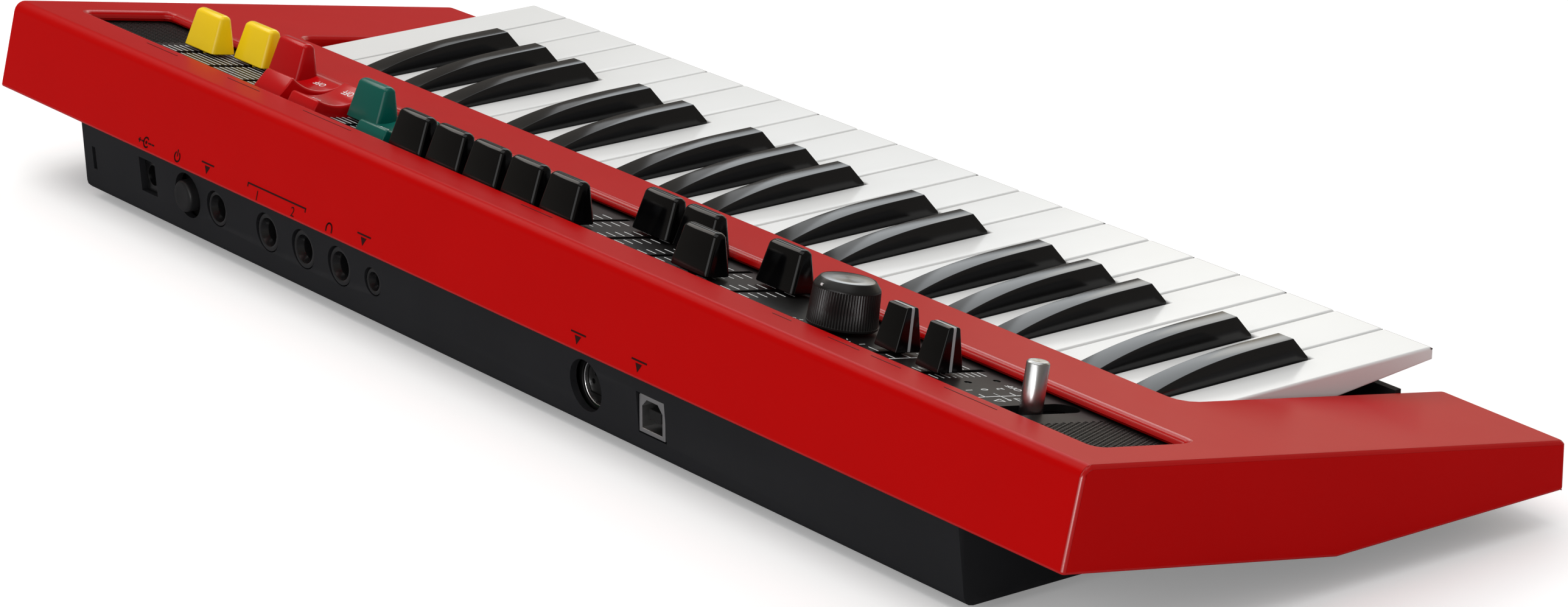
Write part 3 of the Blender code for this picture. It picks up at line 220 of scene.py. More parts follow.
def fill_lines(tree, given):
    """Fine tool lines of turned or brushed metal, along one running coordinate."""
    run = maths(tree, "MULTIPLY", given["Run"], given["Lines Per Unit"])
    lines = add(tree, "ShaderNodeTexNoise", {"W": run, "Scale": 1.0, "Detail": 4.0, "Roughness": 0.7},
                noise_dimensions="1D").outputs[0]
    return {"Height": maths(tree, "MULTIPLY", lines, given["Depth"]),
            "Shade": spread(tree, lines, NOISE_RANGE, TOOL_SHADE)}


MOULDED_GRAIN = node_group("moulded_grain", fill_grain,
                           {"Place": VECTOR, "Grain Size": FLOAT, "Depth": FLOAT}, {"Height": FLOAT})
HANDLING_MARKS = node_group("handling_marks", fill_marks,
                            {"Place": VECTOR, "Cloud Size": FLOAT, "Gloss": FLOAT, "Change": FLOAT},
                            {"Roughness": FLOAT})
PIGMENT_DRIFT = node_group("pigment_drift", fill_drift,
                           {"Place": VECTOR, "Colour": COLOUR, "Drift": FLOAT}, {"Colour": COLOUR})
RUBBED_EDGES = node_group("rubbed_edges", fill_rubbed,
                          {"Place": VECTOR, "Pointiness": FLOAT, "Colour": COLOUR, "Rubbed": COLOUR,
                           "Amount": FLOAT}, {"Colour": COLOUR})
TURNED_LINES = node_group("turned_lines", fill_lines,
                          {"Run": FLOAT, "Lines Per Unit": FLOAT, "Depth": FLOAT},
                          {"Height": FLOAT, "Shade": FLOAT})


def new_material(name):
    """A material with its Principled shader, and the place on the piece."""
    made = bpy.data.materials.new(name)
    made.use_nodes = True
    tree = made.node_tree
    place = add(tree, "ShaderNodeTexCoord").outputs["Object"]
    return made, tree, tree.nodes["Principled BSDF"], place


def fill_group(tree, group, **values):
    """What a node group puts out in a material, with its own values."""
    values = {key.replace("_", " "): value for key, value in values.items()}
    return add(tree, "ShaderNodeGroup", values, node_tree=group).outputs


def rgba(colour):
    """A colour that is solid."""
    return (*colour, 1.0)


def moulding(name, colour, gloss, change, grain, depth, drift, rubbed=None, amount=0.0, specular=0.5):
    """A moulded plastic or rubber with its own grain, gloss and wear."""
    made, tree, shader, place = new_material(name)
    drifted = fill_group(tree, PIGMENT_DRIFT, Place=place, Colour=rgba(colour), Drift=drift)
    edge = add(tree, "ShaderNodeNewGeometry").outputs["Pointiness"]
    worn = fill_group(tree, RUBBED_EDGES, Place=place, Pointiness=edge, Colour=drifted["Colour"],
                      Rubbed=rgba(rubbed or colour), Amount=amount)
    marks = fill_group(tree, HANDLING_MARKS, Place=place, Cloud_Size=HAND_CLOUD, Gloss=gloss,
                       Change=change)
    skin = fill_group(tree, MOULDED_GRAIN, Place=place, Grain_Size=grain * MM, Depth=depth)
    bump = add(tree, "ShaderNodeBump", {"Strength": 0.25, "Distance": 0.02 * MM,
                                        "Height": skin["Height"]})
    give(tree, shader, {"Base Color": worn["Colour"], "Roughness": marks["Roughness"],
                        "Normal": bump.outputs[0], "Specular IOR Level": specular})
    return made


def turned_metal(name, colour, gloss, lines, depth=0.4, radial=False):
    """Metal with tool lines that run round it or straight across it."""
    made, tree, shader, place = new_material(name)
    split = add(tree, "ShaderNodeSeparateXYZ", {0: place}).outputs
    run = split[2]
    if radial:
        squares = [maths(tree, "POWER", split[i], 2.0) for i in (0, 1)]
        run = maths(tree, "POWER", maths(tree, "ADD", *squares), 0.5)
    tool = fill_group(tree, TURNED_LINES, Run=run, Lines_Per_Unit=lines, Depth=depth)
    drifted = fill_group(tree, PIGMENT_DRIFT, Place=place, Colour=rgba(colour), Drift=0.03)
    marks = fill_group(tree, HANDLING_MARKS, Place=place, Cloud_Size=METAL_CLOUD, Gloss=gloss,
                       Change=0.05)
    bump = add(tree, "ShaderNodeBump", {"Strength": 0.3, "Distance": 0.01 * MM,
                                        "Height": tool["Height"]})
    give(tree, shader, {"Base Color": shaded(tree, drifted["Colour"], tool["Shade"]),
                        "Roughness": marks["Roughness"], "Normal": bump.outputs[0],
                        "Metallic": 1.0, "Anisotropic": 0.6})
    return made


# Each moulding: name, colour, roughness and its change, grain size in millimetres, grain depth,
# drift of the colour, then the colour of rubbed edges and how much they are rubbed
FINISH = {
    "case_red": moulding("satin_red_case", (0.46, 0.0, 0.0), 0.3, 0.05, 0.3, 0.3, 0.015,
                         (0.5, 0.002, 0.001), 0.25, specular=0.045),
    "base_black": moulding("matt_black_base", (0.016, 0.0165, 0.0185), 0.52, 0.06, 0.35, 0.9, 0.06,
                           (0.04, 0.04, 0.042), 0.4, specular=0.12),
    "panel_black": moulding("soft_black_panel", (0.006, 0.0056, 0.0056), 0.4, 0.08, 0.3, 0.7, 0.05,
                            (0.03, 0.03, 0.03), 0.3, specular=0.08),
    "key_white": moulding("polished_white_key", (0.79, 0.792, 0.782), 0.2, 0.05, 0.6, 0.15, 0.008,
                          (0.83, 0.83, 0.82), 0.3, specular=0.2),
    "key_black": moulding("polished_black_key", (0.006, 0.006, 0.0063), 0.13, 0.02, 0.5, 0.04, 0.05,
                          (0.02, 0.02, 0.021), 0.3),
    "cap_black": moulding("polished_black_cap", (0.0012, 0.0012, 0.0015), 0.11, 0.03, 0.4, 0.05,
                          0.05, (0.03, 0.03, 0.03), 0.3, specular=0.3),
    "cap_red": moulding("polished_red_cap", (0.5, 0.0, 0.002), 0.17, 0.03, 0.4, 0.06, 0.02,
                        (0.6, 0.02, 0.02), 0.3, specular=0.3),
    "yellow": moulding("polished_yellow_cap", (1.0, 0.69, 0.008), 0.2, 0.04, 0.4, 0.08, 0.02,
                       (1.0, 0.72, 0.06), 0.3, specular=0.45),
    "green": moulding("polished_green_cap", (0.0, 0.1, 0.077), 0.22, 0.05, 0.4, 0.12, 0.02,
                      (0.005, 0.16, 0.12), 0.3, specular=0.4),
    "aluminium": turned_metal("turned_aluminium", (0.56, 0.565, 0.57), 0.26, 26000.0),
    "steel": turned_metal("plated_sheet", (0.6, 0.6, 0.6), 0.34, 9000.0, 0.2),
    "frame_grey": moulding("moulded_key_frame", (0.22, 0.22, 0.22), 0.6, 0.06, 0.5, 0.8, 0.05),
    "board_green": moulding("solder_mask_board", (0.004, 0.03, 0.012), 0.4, 0.08, 0.6, 0.4, 0.12),
    "speaker_grey": moulding("paper_cone", (0.03, 0.03, 0.03), 0.75, 0.08, 0.5, 1.4, 0.12),
    "rubber": moulding("foot_rubber", (0.02, 0.02, 0.02), 0.85, 0.06, 0.4, 1.2, 0.08, specular=0.2),
}
RED_EDGE = moulding("satin_red_edge", (0.45, 0.0, 0.0002), 0.24, 0.03, 0.3, 0.1, 0.015, specular=0.4)
SPUN_FACE = turned_metal("spun_dial_face", (0.3, 0.305, 0.31), 0.3, 14000.0, radial=True)
DIAL_GRIP = moulding("ribbed_dial_grip", (0.009, 0.009, 0.009), 0.36, 0.06, 0.3, 0.4, 0.05,
                     (0.05, 0.05, 0.05), 0.5, specular=0.35)
PRINT_WHITE = moulding("printed_white", (0.8, 0.82, 0.82), 0.5, 0.05, 0.2, 0.2, 0.03, specular=0.2)
PRINT_DARK = moulding("printed_dark", (0.028, 0.004, 0.004), 0.45, 0.05, 0.2, 0.2, 0.03, specular=0.1)
# Real black parts seen inside the lever slot and the sockets, darker than the case black as painted shade
SHADOW_BLACK = moulding("shade_darkened_black", (0.005, 0.005, 0.005), 0.5, 0.05, 0.3, 0.5, 0.05,
                        specular=0.2)
JACK_BLACK = moulding("jack_collar_black", (0.006, 0.006, 0.0065), 0.24, 0.05, 0.3, 0.2, 0.05,
                      (0.06, 0.06, 0.06), 0.5, specular=0.5)
INSERT_BLACK = moulding("socket_insert_black", (0.01, 0.01, 0.01), 0.38, 0.05, 0.3, 0.3, 0.05,
                        specular=0.3)
BUTTON_BLACK = moulding("button_black", (0.011, 0.011, 0.012), 0.45, 0.06, 0.3, 0.8, 0.05,
                        (0.05, 0.05, 0.05), 0.5, specular=0.3)
CAP_LINE = moulding("cap_line_grey", (0.42, 0.43, 0.44), 0.35, 0.05, 0.3, 0.2, 0.03, specular=0.3)
BRIGHT_RING = turned_metal("bright_socket_ring", (0.9, 0.9, 0.9), 0.18, 4000.0, 0.1)


# ---------------------------------------------------------------- shaping


def as_object(name, bm, finish, matrix=None, smooth=30.0):
    """A mesh object from a bmesh whose lengths are millimetres."""
    bmesh.ops.recalc_face_normals(bm, faces=bm.faces)
    bmesh.ops.scale(bm, vec=(MM, MM, MM), verts=bm.verts)
    mesh = bpy.data.meshes.new(name)
    bm.to_mesh(mesh)
    bm.free()
    for face in mesh.polygons:
        face.use_smooth = True
    mesh.set_sharp_from_angle(angle=math.radians(smooth))
    mesh.materials.append(finish)
    made = bpy.data.objects.new(name, mesh)
    bpy.context.scene.collection.objects.link(made)
    if matrix is not None:
        made.matrix_world = matrix
    bpy.context.view_layer.update()
    return made


def piece(name, bm, slot, body="case", finish=None, at=None, smooth=30.0, soft=None, stands_for=None):
    """A piece of the part, on its CAD body, in its slot's finish unless another is given, with the node that
    it stands for.
    """
    made = as_object(name, bm, finish or FINISH[slot], at, smooth)
    if soft:
        soften(made, *soft)
    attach(made, body)
    if stands_for:
        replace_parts(made, stands_for)


def soften(made, width, segments=2, angle=30.0, held=True):
    """Rounds the sharp edges of a piece with a bevel; held keeps it inside short edges."""
    step = made.modifiers.new("soft_edges", "BEVEL")
    step.width = width * MM
    step.segments = segments
    step.limit_method = "ANGLE"
    step.angle_limit = math.radians(angle)
    step.use_clamp_overlap = held
    step.harden_normals = True
    return step


def loft(rings, closed=False):
    """A body through rings of points; closed joins the last ring to the first, without ends."""
    bm = bmesh.new()
    rows = [[bm.verts.new(point) for point in ring] for ring in rings]
    count = len(rows[0])
    for lower, upper in zip(rows, rows[1:] + rows[:1] if closed else rows[1:]):
        for i in range(count):
            j = (i + 1) % count
            bm.faces.new((lower[i], lower[j], upper[j], upper[i]))
    if not closed:
        bm.faces.new(rows[0][::-1])
        bm.faces.new(rows[-1])
    return bm


def merge(bodies):
    """One bmesh out of several bodies that stand apart."""
    together = bmesh.new()
    for body in bodies:
        bmesh.ops.recalc_face_normals(body, faces=body.faces)
        mesh = bpy.data.meshes.new("part")
        body.to_mesh(mesh)
        body.free()
        together.from_mesh(mesh)
        bpy.data.meshes.remove(mesh)
    return together


def circle(x, y, radius, steps=32):
    """The outline of a circle."""
    angles = [2 * math.pi * i / steps for i in range(steps)]
    return [(x + radius * math.cos(a), y + radius * math.sin(a)) for a in angles]


def rounded(corners, steps=5):
    """An outline of (x, y, radius) corners, each rounded."""
    outline = []
    for i, (x, y, radius) in enumerate(corners):
        corner = Vector((x, y))
        if not radius:
            outline.append((x, y))
            continue
        before = (Vector(corners[i - 1][:2]) - corner).normalized()
        after = (Vector(corners[(i + 1) % len(corners)][:2]) - corner).normalized()
        half = before.angle(after) / 2
        centre = corner + (before + after).normalized() * radius / math.sin(half)
        start = corner + before * radius / math.tan(half) - centre
        end = corner + after * radius / math.tan(half) - centre
        outline += [tuple(centre + start.slerp(end, k / steps) * radius) for k in range(steps + 1)]
    return outline


def round_box(half_x, half_y, radius, x=0.0, y=0.0, steps=5):
    """The outline of a box with four rounded corners."""
    return rounded([(x + half_x, y - half_y, radius), (x + half_x, y + half_y, radius),
                    (x - half_x, y + half_y, radius), (x - half_x, y - half_y, radius)], steps)


def turned(profile, steps=64, middle=(0.0, 0.0)):
    """A turned body from (radius, height) points about a line along Z."""
    return loft([[(x, y, height) for x, y in circle(*middle, radius, steps)] for radius, height in profile])


def turned_y(profile, x, z, steps=64, closed=False):
    """A turned body from (radius, y) points about a line along Y."""
    return loft([[(px, y, pz) for px, pz in circle(x, z, radius, steps)] for radius, y in profile], closed)


def slab(outline, low, high):
    """A solid of one outline between two heights."""
    return loft([[(x, y, z) for x, y in outline] for z in (low, high)])


def block(x0, x1, y0, y1, low, high):
    """A box between its six sides."""
    return slab(((x0, y0), (x1, y0), (x1, y1), (x0, y1)), low, high)


def plate(outline, holes, low, high):
    """A flat plate with holes, from outlines with no more points than they need."""
    points, edges, group = [], [], []
    for number, ring in enumerate([outline] + holes):
        start = len(points)
        points += [Vector(p) for p in ring]
        edges += [(start + i, start + (i + 1) % len(ring)) for i in range(len(ring))]
        group += [number] * len(ring)
    made = delaunay_2d_cdt(points, edges, [], 1, 1e-7)
    owner = [group[origin[0]] if origin else 0 for origin in made[3]]
    bm = bmesh.new()
    top = [bm.verts.new((p.x, p.y, high)) for p in made[0]]
    under = {vert: bm.verts.new((vert.co.x, vert.co.y, low)) for vert in top}
    for face in made[2]:
        owners = {owner[i] for i in face}
        if len(owners) == 1 and owners != {0}:
            continue
        bm.faces.new([top[i] for i in face])
        bm.faces.new([under[top[i]] for i in reversed(face)])
    for edge in [e for e in bm.edges if len(e.link_faces) == 1 and e.verts[0] in under]:
        a, b = edge.verts
        bm.faces.new((a, b, under[b], under[a]))
    return bm


def upright(bm):
    """Turns a body drawn lying flat so that its height runs towards the rear."""
    for vert in bm.verts:
        vert.co = Vector((vert.co.x, -vert.co.z, vert.co.y))
    return bm


# ---------------------------------------------------------------- carried-over nodes

WELD_DISTANCE = 0.002


def make_smoothing():
    """A modifier group that welds a CAD mesh and shades it smooth."""
    tree = bpy.data.node_groups.new("weld_and_smooth", "GeometryNodeTree")
    for side in ("INPUT", "OUTPUT"):
        tree.interface.new_socket("Geometry", in_out=side, socket_type="NodeSocketGeometry")
    given = tree.nodes.new("NodeGroupInput").outputs[0]
    weld = add(tree, "GeometryNodeMergeByDistance", {0: given, "Distance": WELD_DISTANCE * MM})
    smooth = add(tree, "GeometryNodeSetShadeSmooth", {0: weld.outputs[0]})
    give(tree, tree.nodes.new("NodeGroupOutput"), {0: smooth.outputs[0]})
    return tree


SMOOTHING = make_smoothing()


def dress_node(node, finish, width, segments=2, edge_finish=None, held=True):
    """Finish for a CAD node that keeps its shape, with its sharp edges rounded."""
    made = nodes[node]
    made.data.materials.clear()
    made.data.materials.append(finish)
    made.modifiers.new("weld_and_smooth", "NODES").node_group = SMOOTHING
    bevel = soften(made, width, segments, 32.0, held)
    if edge_finish:
        made.data.materials.append(edge_finish)
        bevel.material = 1
    even = made.modifiers.new("even_shading", "WEIGHTED_NORMAL")
    even.keep_sharp = False
    even.weight = 50


# ---------------------------------------------------------------- slider caps

CAP_BASE = -2.3
CAP_TOP = 9.8
CAP_CHAMFER = 0.25
CAP_BELT = 3.0
CAP_LENGTHS = (8.8, 3.7)
WIDE = (17.2, 15.1)
NARROW = (9.6, 8.3)
SOFT = (1.3, 1.4)
CRISP = (0.4, 0.5)
CROWN_STEPS = 6
STEM_FOOT = POT_TOP - 2.2
GAP = 0.01
LINE_HALF, LINE_PROUD, LINE_SUNK = 0.45, 0.04, 0.5


def cap_halves(widths, rise):
    """Half the width and half the length of a cap at one height."""
    part = (rise - CAP_BASE) / (CAP_TOP - CAP_BASE)
    return [(low + (high - low) * part) / 2 for low, high in (widths, CAP_LENGTHS)]


def crown_levels(crown):
    """Rise and inset of the rings that round the top of a cap."""
    for k in range(CROWN_STEPS + 1):
        turn = math.radians(90.0 * k / CROWN_STEPS)
        yield CAP_TOP - crown * (1 - math.sin(turn)), crown * (1 - math.cos(turn))


def stem_blade(top):
    """The blade that joins a cap to its slider under the panel."""
    return block(-0.6, 0.6, -1.8, 1.8, STEM_FOOT, top)


def make_cap(name, x, along, widths, edges, slot):
    """A tapered cap; edges holds the rounding of its corners and of its crown."""
    corner, crown = edges
    levels = [(CAP_BASE, CAP_CHAMFER), (CAP_BASE + CAP_CHAMFER, 0.0), (CAP_BELT, 0.0)]
    rings = []
    for rise, inset in levels + list(crown_levels(crown)):
        half_x, half_y = cap_halves(widths, rise)
        outline = round_box(half_x - inset, half_y - inset, min(corner, half_y - inset - 0.05))
        rings.append([(px, py, rise) for px, py in outline])
    piece(name + "_cap", merge([loft(rings), stem_blade(CAP_BASE - GAP)]), slot, name,
          at=deck_place(x, along), smooth=28.0, stands_for=name)


def make_cap_line(name, x, along):
    """The pale line let into a narrow cap, over its top from side to side."""
    levels = [(CAP_BASE + 0.3, 0.0)] + list(crown_levels(CRISP[1]))
    path = [(cap_halves(NARROW, rise)[0] - inset, rise) for rise, inset in levels]
    path += [(-across, rise) for across, rise in reversed(path)]
    outer, inner = [], []
    for k, point in enumerate(path):
        run = (Vector(path[min(k + 1, len(path) - 1)]) - Vector(path[max(k - 1, 0)])).normalized()
        normal = Vector((run.y, -run.x))
        outer.append(Vector(point) + normal * LINE_PROUD)
        inner.append(Vector(point) - normal * LINE_SUNK)
    ring = outer + inner[::-1]
    line = loft([[(px, y, pz) for px, pz in ring] for y in (-LINE_HALF, LINE_HALF)])
    piece(name + "_line", line, "key_white", name, CAP_LINE, deck_place(x, along), 50.0)


for cap_slot, caps in WIDE_CAPS.items():
    for row in caps:
        make_cap(*row, WIDE, SOFT, cap_slot)
for row in LINE_CAPS:
    make_cap(*row, NARROW, CRISP, "cap_black")
    make_cap_line(*row)

# ---------------------------------------------------------------- rocker tabs

ROCKER_HALF = 12.8
ROCKER_RIDGE = 9.3
ROCKER_FLANK = 7.5
ROCKER_PIVOT = -8.0
ROCKER_CREST = 11.3
ROCKER_DIP = 2.9
ROCKER_WAIST = 4.7
ROCKER_LOW = -1.6
ROCKER_EDGE = 1.0
ROCKER_MIDDLE = -31.4
ROCKER_LEAN = 7.5
RIDGE_ROUND = 0.75
DISH_HALF, DISH_STEPS = 8.0, 20
EDGE_STEPS = 5
PIN_RADIUS, PIN_HALF = 1.2, 8.5
ROCKER_WORDS = (("OFF", -6.0), ("ON", 5.6))


def rocker_top(across):
    """Height of the dish between the ridges of a tab."""
    return ROCKER_CREST - ROCKER_DIP * (1 - (across / ROCKER_RIDGE) ** 2)


def rocker_place(x, lean):
    """The matrix that leans a tab on its pin."""
    turn = Matrix.Rotation(math.radians(lean * ROCKER_LEAN), 4, "X")
    return deck_place(x, ROCKER_MIDDLE, ROCKER_PIVOT) @ turn


def make_rocker(name, x, slot, lean):
    """A tab with a dished top, rounded flanks and two rounded ridges, on its pin."""
    corners = [(-ROCKER_HALF, ROCKER_LOW, 0.0), (ROCKER_HALF, ROCKER_LOW, 0.0),
               (ROCKER_HALF, ROCKER_WAIST, 0.0), (ROCKER_RIDGE, ROCKER_CREST, RIDGE_ROUND)]
    dish = [DISH_HALF * (1 - 2 * k / DISH_STEPS) for k in range(DISH_STEPS + 1)]
    corners += [(y, rocker_top(y), 0.0) for y in dish]
    corners += [(-ROCKER_RIDGE, ROCKER_CREST, RIDGE_ROUND), (-ROCKER_HALF, ROCKER_WAIST, 0.0)]
    outline = rounded(corners, 4)
    rings = []
    for side in (-1, 1):
        levels = []
        for k in range(EDGE_STEPS + 1):
            turn = math.radians(90.0 * k / EDGE_STEPS)
            away = ROCKER_FLANK - ROCKER_EDGE * (1 - math.cos(turn))
            drop = ROCKER_EDGE * (1 - math.sin(turn))
            levels.append([(side * away, y, z - drop if z > ROCKER_WAIST + 0.1 else z)
                           for y, z in outline])
        rings += levels if side < 0 else levels[::-1]
    pin = loft([[(px, y, z) for y, z in circle(0.0, 0.0, PIN_RADIUS, 20)] for px in (-PIN_HALF, PIN_HALF)])
    piece(name + "_tab", merge([loft(rings), pin]), slot, name, at=rocker_place(x, lean), smooth=34.0,
          soft=(0.35, 2, 40.0), stands_for=name)


def flat_text(words, height, centre):
    """A flat bmesh of plain lettering, centred, height in millimetres."""
    curve = bpy.data.curves.new("lettering", "FONT")
    curve.body = words
    curve.size = height
    curve.align_x, curve.align_y = "CENTER", "CENTER"
    curve.resolution_u = 3
    holder = bpy.data.objects.new("lettering", curve)
    bpy.context.scene.collection.objects.link(holder)
    bpy.context.view_layer.update()
    mesh = bpy.data.meshes.new_from_object(holder.evaluated_get(bpy.context.evaluated_depsgraph_get()))
    bm = bmesh.new()
    bm.from_mesh(mesh)
    bpy.data.objects.remove(holder, do_unlink=True)
    bpy.data.curves.remove(curve)
    bpy.data.meshes.remove(mesh)
    bmesh.ops.remove_doubles(bm, verts=bm.verts, dist=0.001)
    bmesh.ops.translate(bm, verts=bm.verts, vec=(*centre, 0.0))
    return bm


def thicken(bm, lift, depth):
    """Lifts flat lettering to its height and gives it a thickness below its face."""
    made = bmesh.ops.extrude_face_region(bm, geom=list(bm.faces))
    lowered = [item for item in made["geom"] if isinstance(item, bmesh.types.BMVert)]
    for vert in bm.verts:
        vert.co.z += lift
    for vert in lowered:
        vert.co.z -= depth
    return bm


def make_rocker_words(name, x, lean):
    """OFF and ON, following the dish of a tab."""
    marks = []
    for words, y in ROCKER_WORDS:
        text = flat_text(words, 3.0, (0.0, y))
        long_edges = [edge for edge in text.edges if edge.calc_length() > 0.8]
        bmesh.ops.subdivide_edges(text, edges=long_edges, cuts=1)
        for vert in text.verts:
            vert.co.z = rocker_top(vert.co.y) + 0.04
        marks.append(thicken(text, 0.0, 0.12))
    piece(name + "_marks", merge(marks), "key_white", name, PRINT_WHITE, rocker_place(x, lean), 40.0)


for rocker_name, rocker_x, rocker_slot, rocker_lean in ROCKERS:
    make_rocker(rocker_name, rocker_x, rocker_slot, rocker_lean)
    make_rocker_words(rocker_name, rocker_x, rocker_lean)

# ---------------------------------------------------------------- dial and lever

DIAL_RIBS = 72
RIB_POINTS = 6
RIB_DEPTH = 0.28
# Radius and rise of each ring, and 1 where the grip is ribbed
GRIP_RINGS = ((9.5, CAP_BASE, 0), (9.8, CAP_BASE + 0.3, 0), (9.8, CAP_BASE + 0.8, 0),
              (9.75, CAP_BASE + 0.9, 1), (9.5, 3.0, 1), (9.24, 8.1, 1), (9.2, 8.2, 0), (9.15, 8.5, 0),
              (9.0, 8.85, 0), (7.85, 10.35, 0), (7.65, 10.6, 0), (7.5, 10.66, 0), (7.3, 10.5, 0),
              (7.3, 10.0, 0))
DIAL_STEM = ((3.0, STEM_FOOT), (3.0, CAP_BASE + 0.3))
DIAL_FACE = ((7.3, 9.95), (7.3, 10.5), (7.2, 10.58), (4.0, 10.55), (0.2, 10.54))
DIAL_POINTER = (-0.35, 0.35, 7.9, 9.0, 8.9, 9.5)
LEVER_SHAFT = ((3.1, -5.65), (3.1, 9.15), (3.04, 9.3), (2.72, 9.66), (2.5, 9.78), (2.2, 9.8),
               (1.0, 9.77), (0.1, 9.76))
LEVER_SHOE = (-5.7, 5.7, -13.0, 13.0, -6.8, -5.6)


def make_dial():
    """A ribbed grip with a spun face and a white pointer."""
    count = DIAL_RIBS * RIB_POINTS
    rings = []
    for radius, height, ribbed in GRIP_RINGS:
        ring = []
        for i in range(count):
            wave = 0.5 - 0.5 * math.cos(2 * math.pi * i / RIB_POINTS)
            reach = radius - RIB_DEPTH * ribbed * wave
            angle = 2 * math.pi * i / count
            ring.append((reach * math.cos(angle), reach * math.sin(angle), height))
        rings.append(ring)
    place = deck_place(*DIAL)
    piece("wave_dial_grip", merge([loft(rings), turned(DIAL_STEM, 32)]), "cap_black", "wave_dial",
          DIAL_GRIP, place, 40.0, stands_for="wave_dial")
    piece("wave_dial_face", turned(DIAL_FACE, 96), "aluminium", "wave_dial", SPUN_FACE, place, 40.0)
    piece("wave_dial_pointer", block(*DIAL_POINTER), "key_white", "wave_dial", PRINT_WHITE, place, 40.0)


def make_lever():
    """A turned lever on the shoe that carries it under the panel."""
    place = deck_place(*LEVER)
    piece("speed_lever_shaft", turned(LEVER_SHAFT, 72), "aluminium", "speed_lever", at=place, smooth=40.0,
          stands_for="speed_lever")
    shoe = merge([block(*LEVER_SHOE), stem_blade(LEVER_SHOE[4] - 0.05)])
    # The shoe is a real part, in a black darkened as painted shade inside the lever slot
    piece("speed_lever_shoe", shoe, "cap_black", "speed_lever", SHADOW_BLACK, place, soft=(0.25,))


make_dial()
make_lever()

# ---------------------------------------------------------------- control panel

GRILLE_ENDS = (218.9, 248.6)
GRILLE_ALONG = (-17.6, -47.9)
HOLE_PITCH = 1.45
HOLE_RADIUS = 0.56
DIAL_HOLE = 3.5
LAMP_HOLE = 1.1
LEVER_SLOT = (-19.2, -47.4, 8.6)


def grille_holes():
    """Centres of the fine perforation at both ends of the panel."""
    row_step = HOLE_PITCH * math.sqrt(3) / 2
    rows = int((GRILLE_ALONG[0] - GRILLE_ALONG[1]) / row_step)
    columns = int((GRILLE_ENDS[1] - GRILLE_ENDS[0]) / HOLE_PITCH)
    for side in (-1, 1):
        for row in range(rows + 1):
            for column in range(columns):
                x = GRILLE_ENDS[0] + (column + 0.5 * (row % 2) + 0.25) * HOLE_PITCH
                yield side * x, GRILLE_ALONG[0] - row * row_step


def make_panel():
    """The plate, with its slots, windows, lamp holes and two grilles."""
    caps = [cap for row in WIDE_CAPS.values() for cap in row] + list(LINE_CAPS)
    holes = [round_box(SLOT_WIDTH / 2, STROKE_HALF + 0.2, 0.3, x, STROKE_MIDDLE, 2) for _, x, _ in caps]
    holes += [round_box(ROCKER_FLANK + 0.5, ROCKER_HALF + 1.0, 0.6, x, ROCKER_MIDDLE, 2)
              for _, x, _, _ in ROCKERS]
    holes.append(circle(*DIAL, DIAL_HOLE, 24))
    holes += [circle(LAMPS_X, along, LAMP_HOLE, 16) for along in LAMPS_ALONG]
    rear, front, width = LEVER_SLOT
    holes.append(round_box(width / 2, (rear - front) / 2, 0.98 * width / 2, LEVER[0],
                           (rear + front) / 2, 8))
    holes += [circle(x, along, HOLE_RADIUS, 6) for x, along in grille_holes()]
    outline = round_box(PANEL_HALF, (PANEL_REAR - PANEL_FRONT) / 2, 4.0, 0.0, RECESS_MIDDLE, 4)
    piece("control_panel_plate", plate(outline, holes, PANEL_UNDER, PANEL_TOP), "panel_black",
          at=deck_place(0.0, 0.0), stands_for="control_panel")


MARK_WIDTH = 0.34
PRINT_LOW = PANEL_TOP - 0.1
PRINT_HIGH = PANEL_TOP + 0.05
# First mark, step and count along the deck, then the near and far end of a mark
WIDE_SCALE = ((-22.2, -3.17, 7), (2.0, 6.5))
FINE_SCALE = ((-23.7, -2.07, 10), (1.4, 9.8))
NARROW_SCALE = ((-23.9, -2.06, 10), (1.6, 5.5))
# Places along the deck and their words; a line goes from one end to the other beside them
OCTAVE_STEPS = ((-27.2, "1"), (-32.4, "0"), (-37.6, "1"))
OCTAVE_LINE = (-6.0, -24.3, -40.3)
OCTAVE_TICKS = ((-5.8, -2.0), (1.6, 5.4))
LEVER_STEPS = ((-27.2, "1"), (-32.4, "0"), (-37.6, "2"), (-42.4, "OFF"))
LEVER_LINE = (-194.1, -24.3, -40.4)
LEVER_DOT = (-197.7, -32.4)
DIAL_TICK = (11.0, 12.2)
DIAL_FIGURE_RADIUS = 14.0


def flat_mark(x0, x1, y0, y1):
    """A printed tick between its four sides."""
    return block(x0, x1, y0, y1, PRINT_LOW, PRINT_HIGH)


def stroke(x0, y0, x1, y1, width=MARK_WIDTH, low=PRINT_LOW, high=PRINT_HIGH):
    """A straight printed line from one place to another."""
    start, end = Vector((x0, y0)), Vector((x1, y1))
    run = (end - start).normalized() * width / 2
    side = Vector((-run.y, run.x))
    return slab([start - run - side, end + run - side, end + run + side, start - run + side], low, high)


def figure(words, height, centre):
    """A printed number or OFF."""
    return thicken(flat_text(words, height, centre), PRINT_HIGH, 0.12)


def slot_scales():
    """The marks on both sides of each slot."""
    half = MARK_WIDTH / 2
    rows = [(x, WIDE_SCALE if slot == "cap_black" else FINE_SCALE)
            for slot, caps in WIDE_CAPS.items() for _, x, _ in caps]
    rows.append((LINE_CAPS[1][1], NARROW_SCALE))
    for x, ((first, step, count), (near, far)) in rows:
        for along in [first + step * row for row in range(count)]:
            yield flat_mark(x - far, x - near, along - half, along + half)
            yield flat_mark(x + near, x + far, along - half, along + half)


def octave_marks():
    """A line and three numbered places beside the octave slider."""
    x = LINE_CAPS[0][1]
    across, rear, front = OCTAVE_LINE
    yield stroke(x + across, rear, x + across, front)
    for along, number in OCTAVE_STEPS:
        for start, end in OCTAVE_TICKS:
            yield stroke(x + start, along, x + end, along)
        yield figure(number, 2.8, (x + 8.2, along))


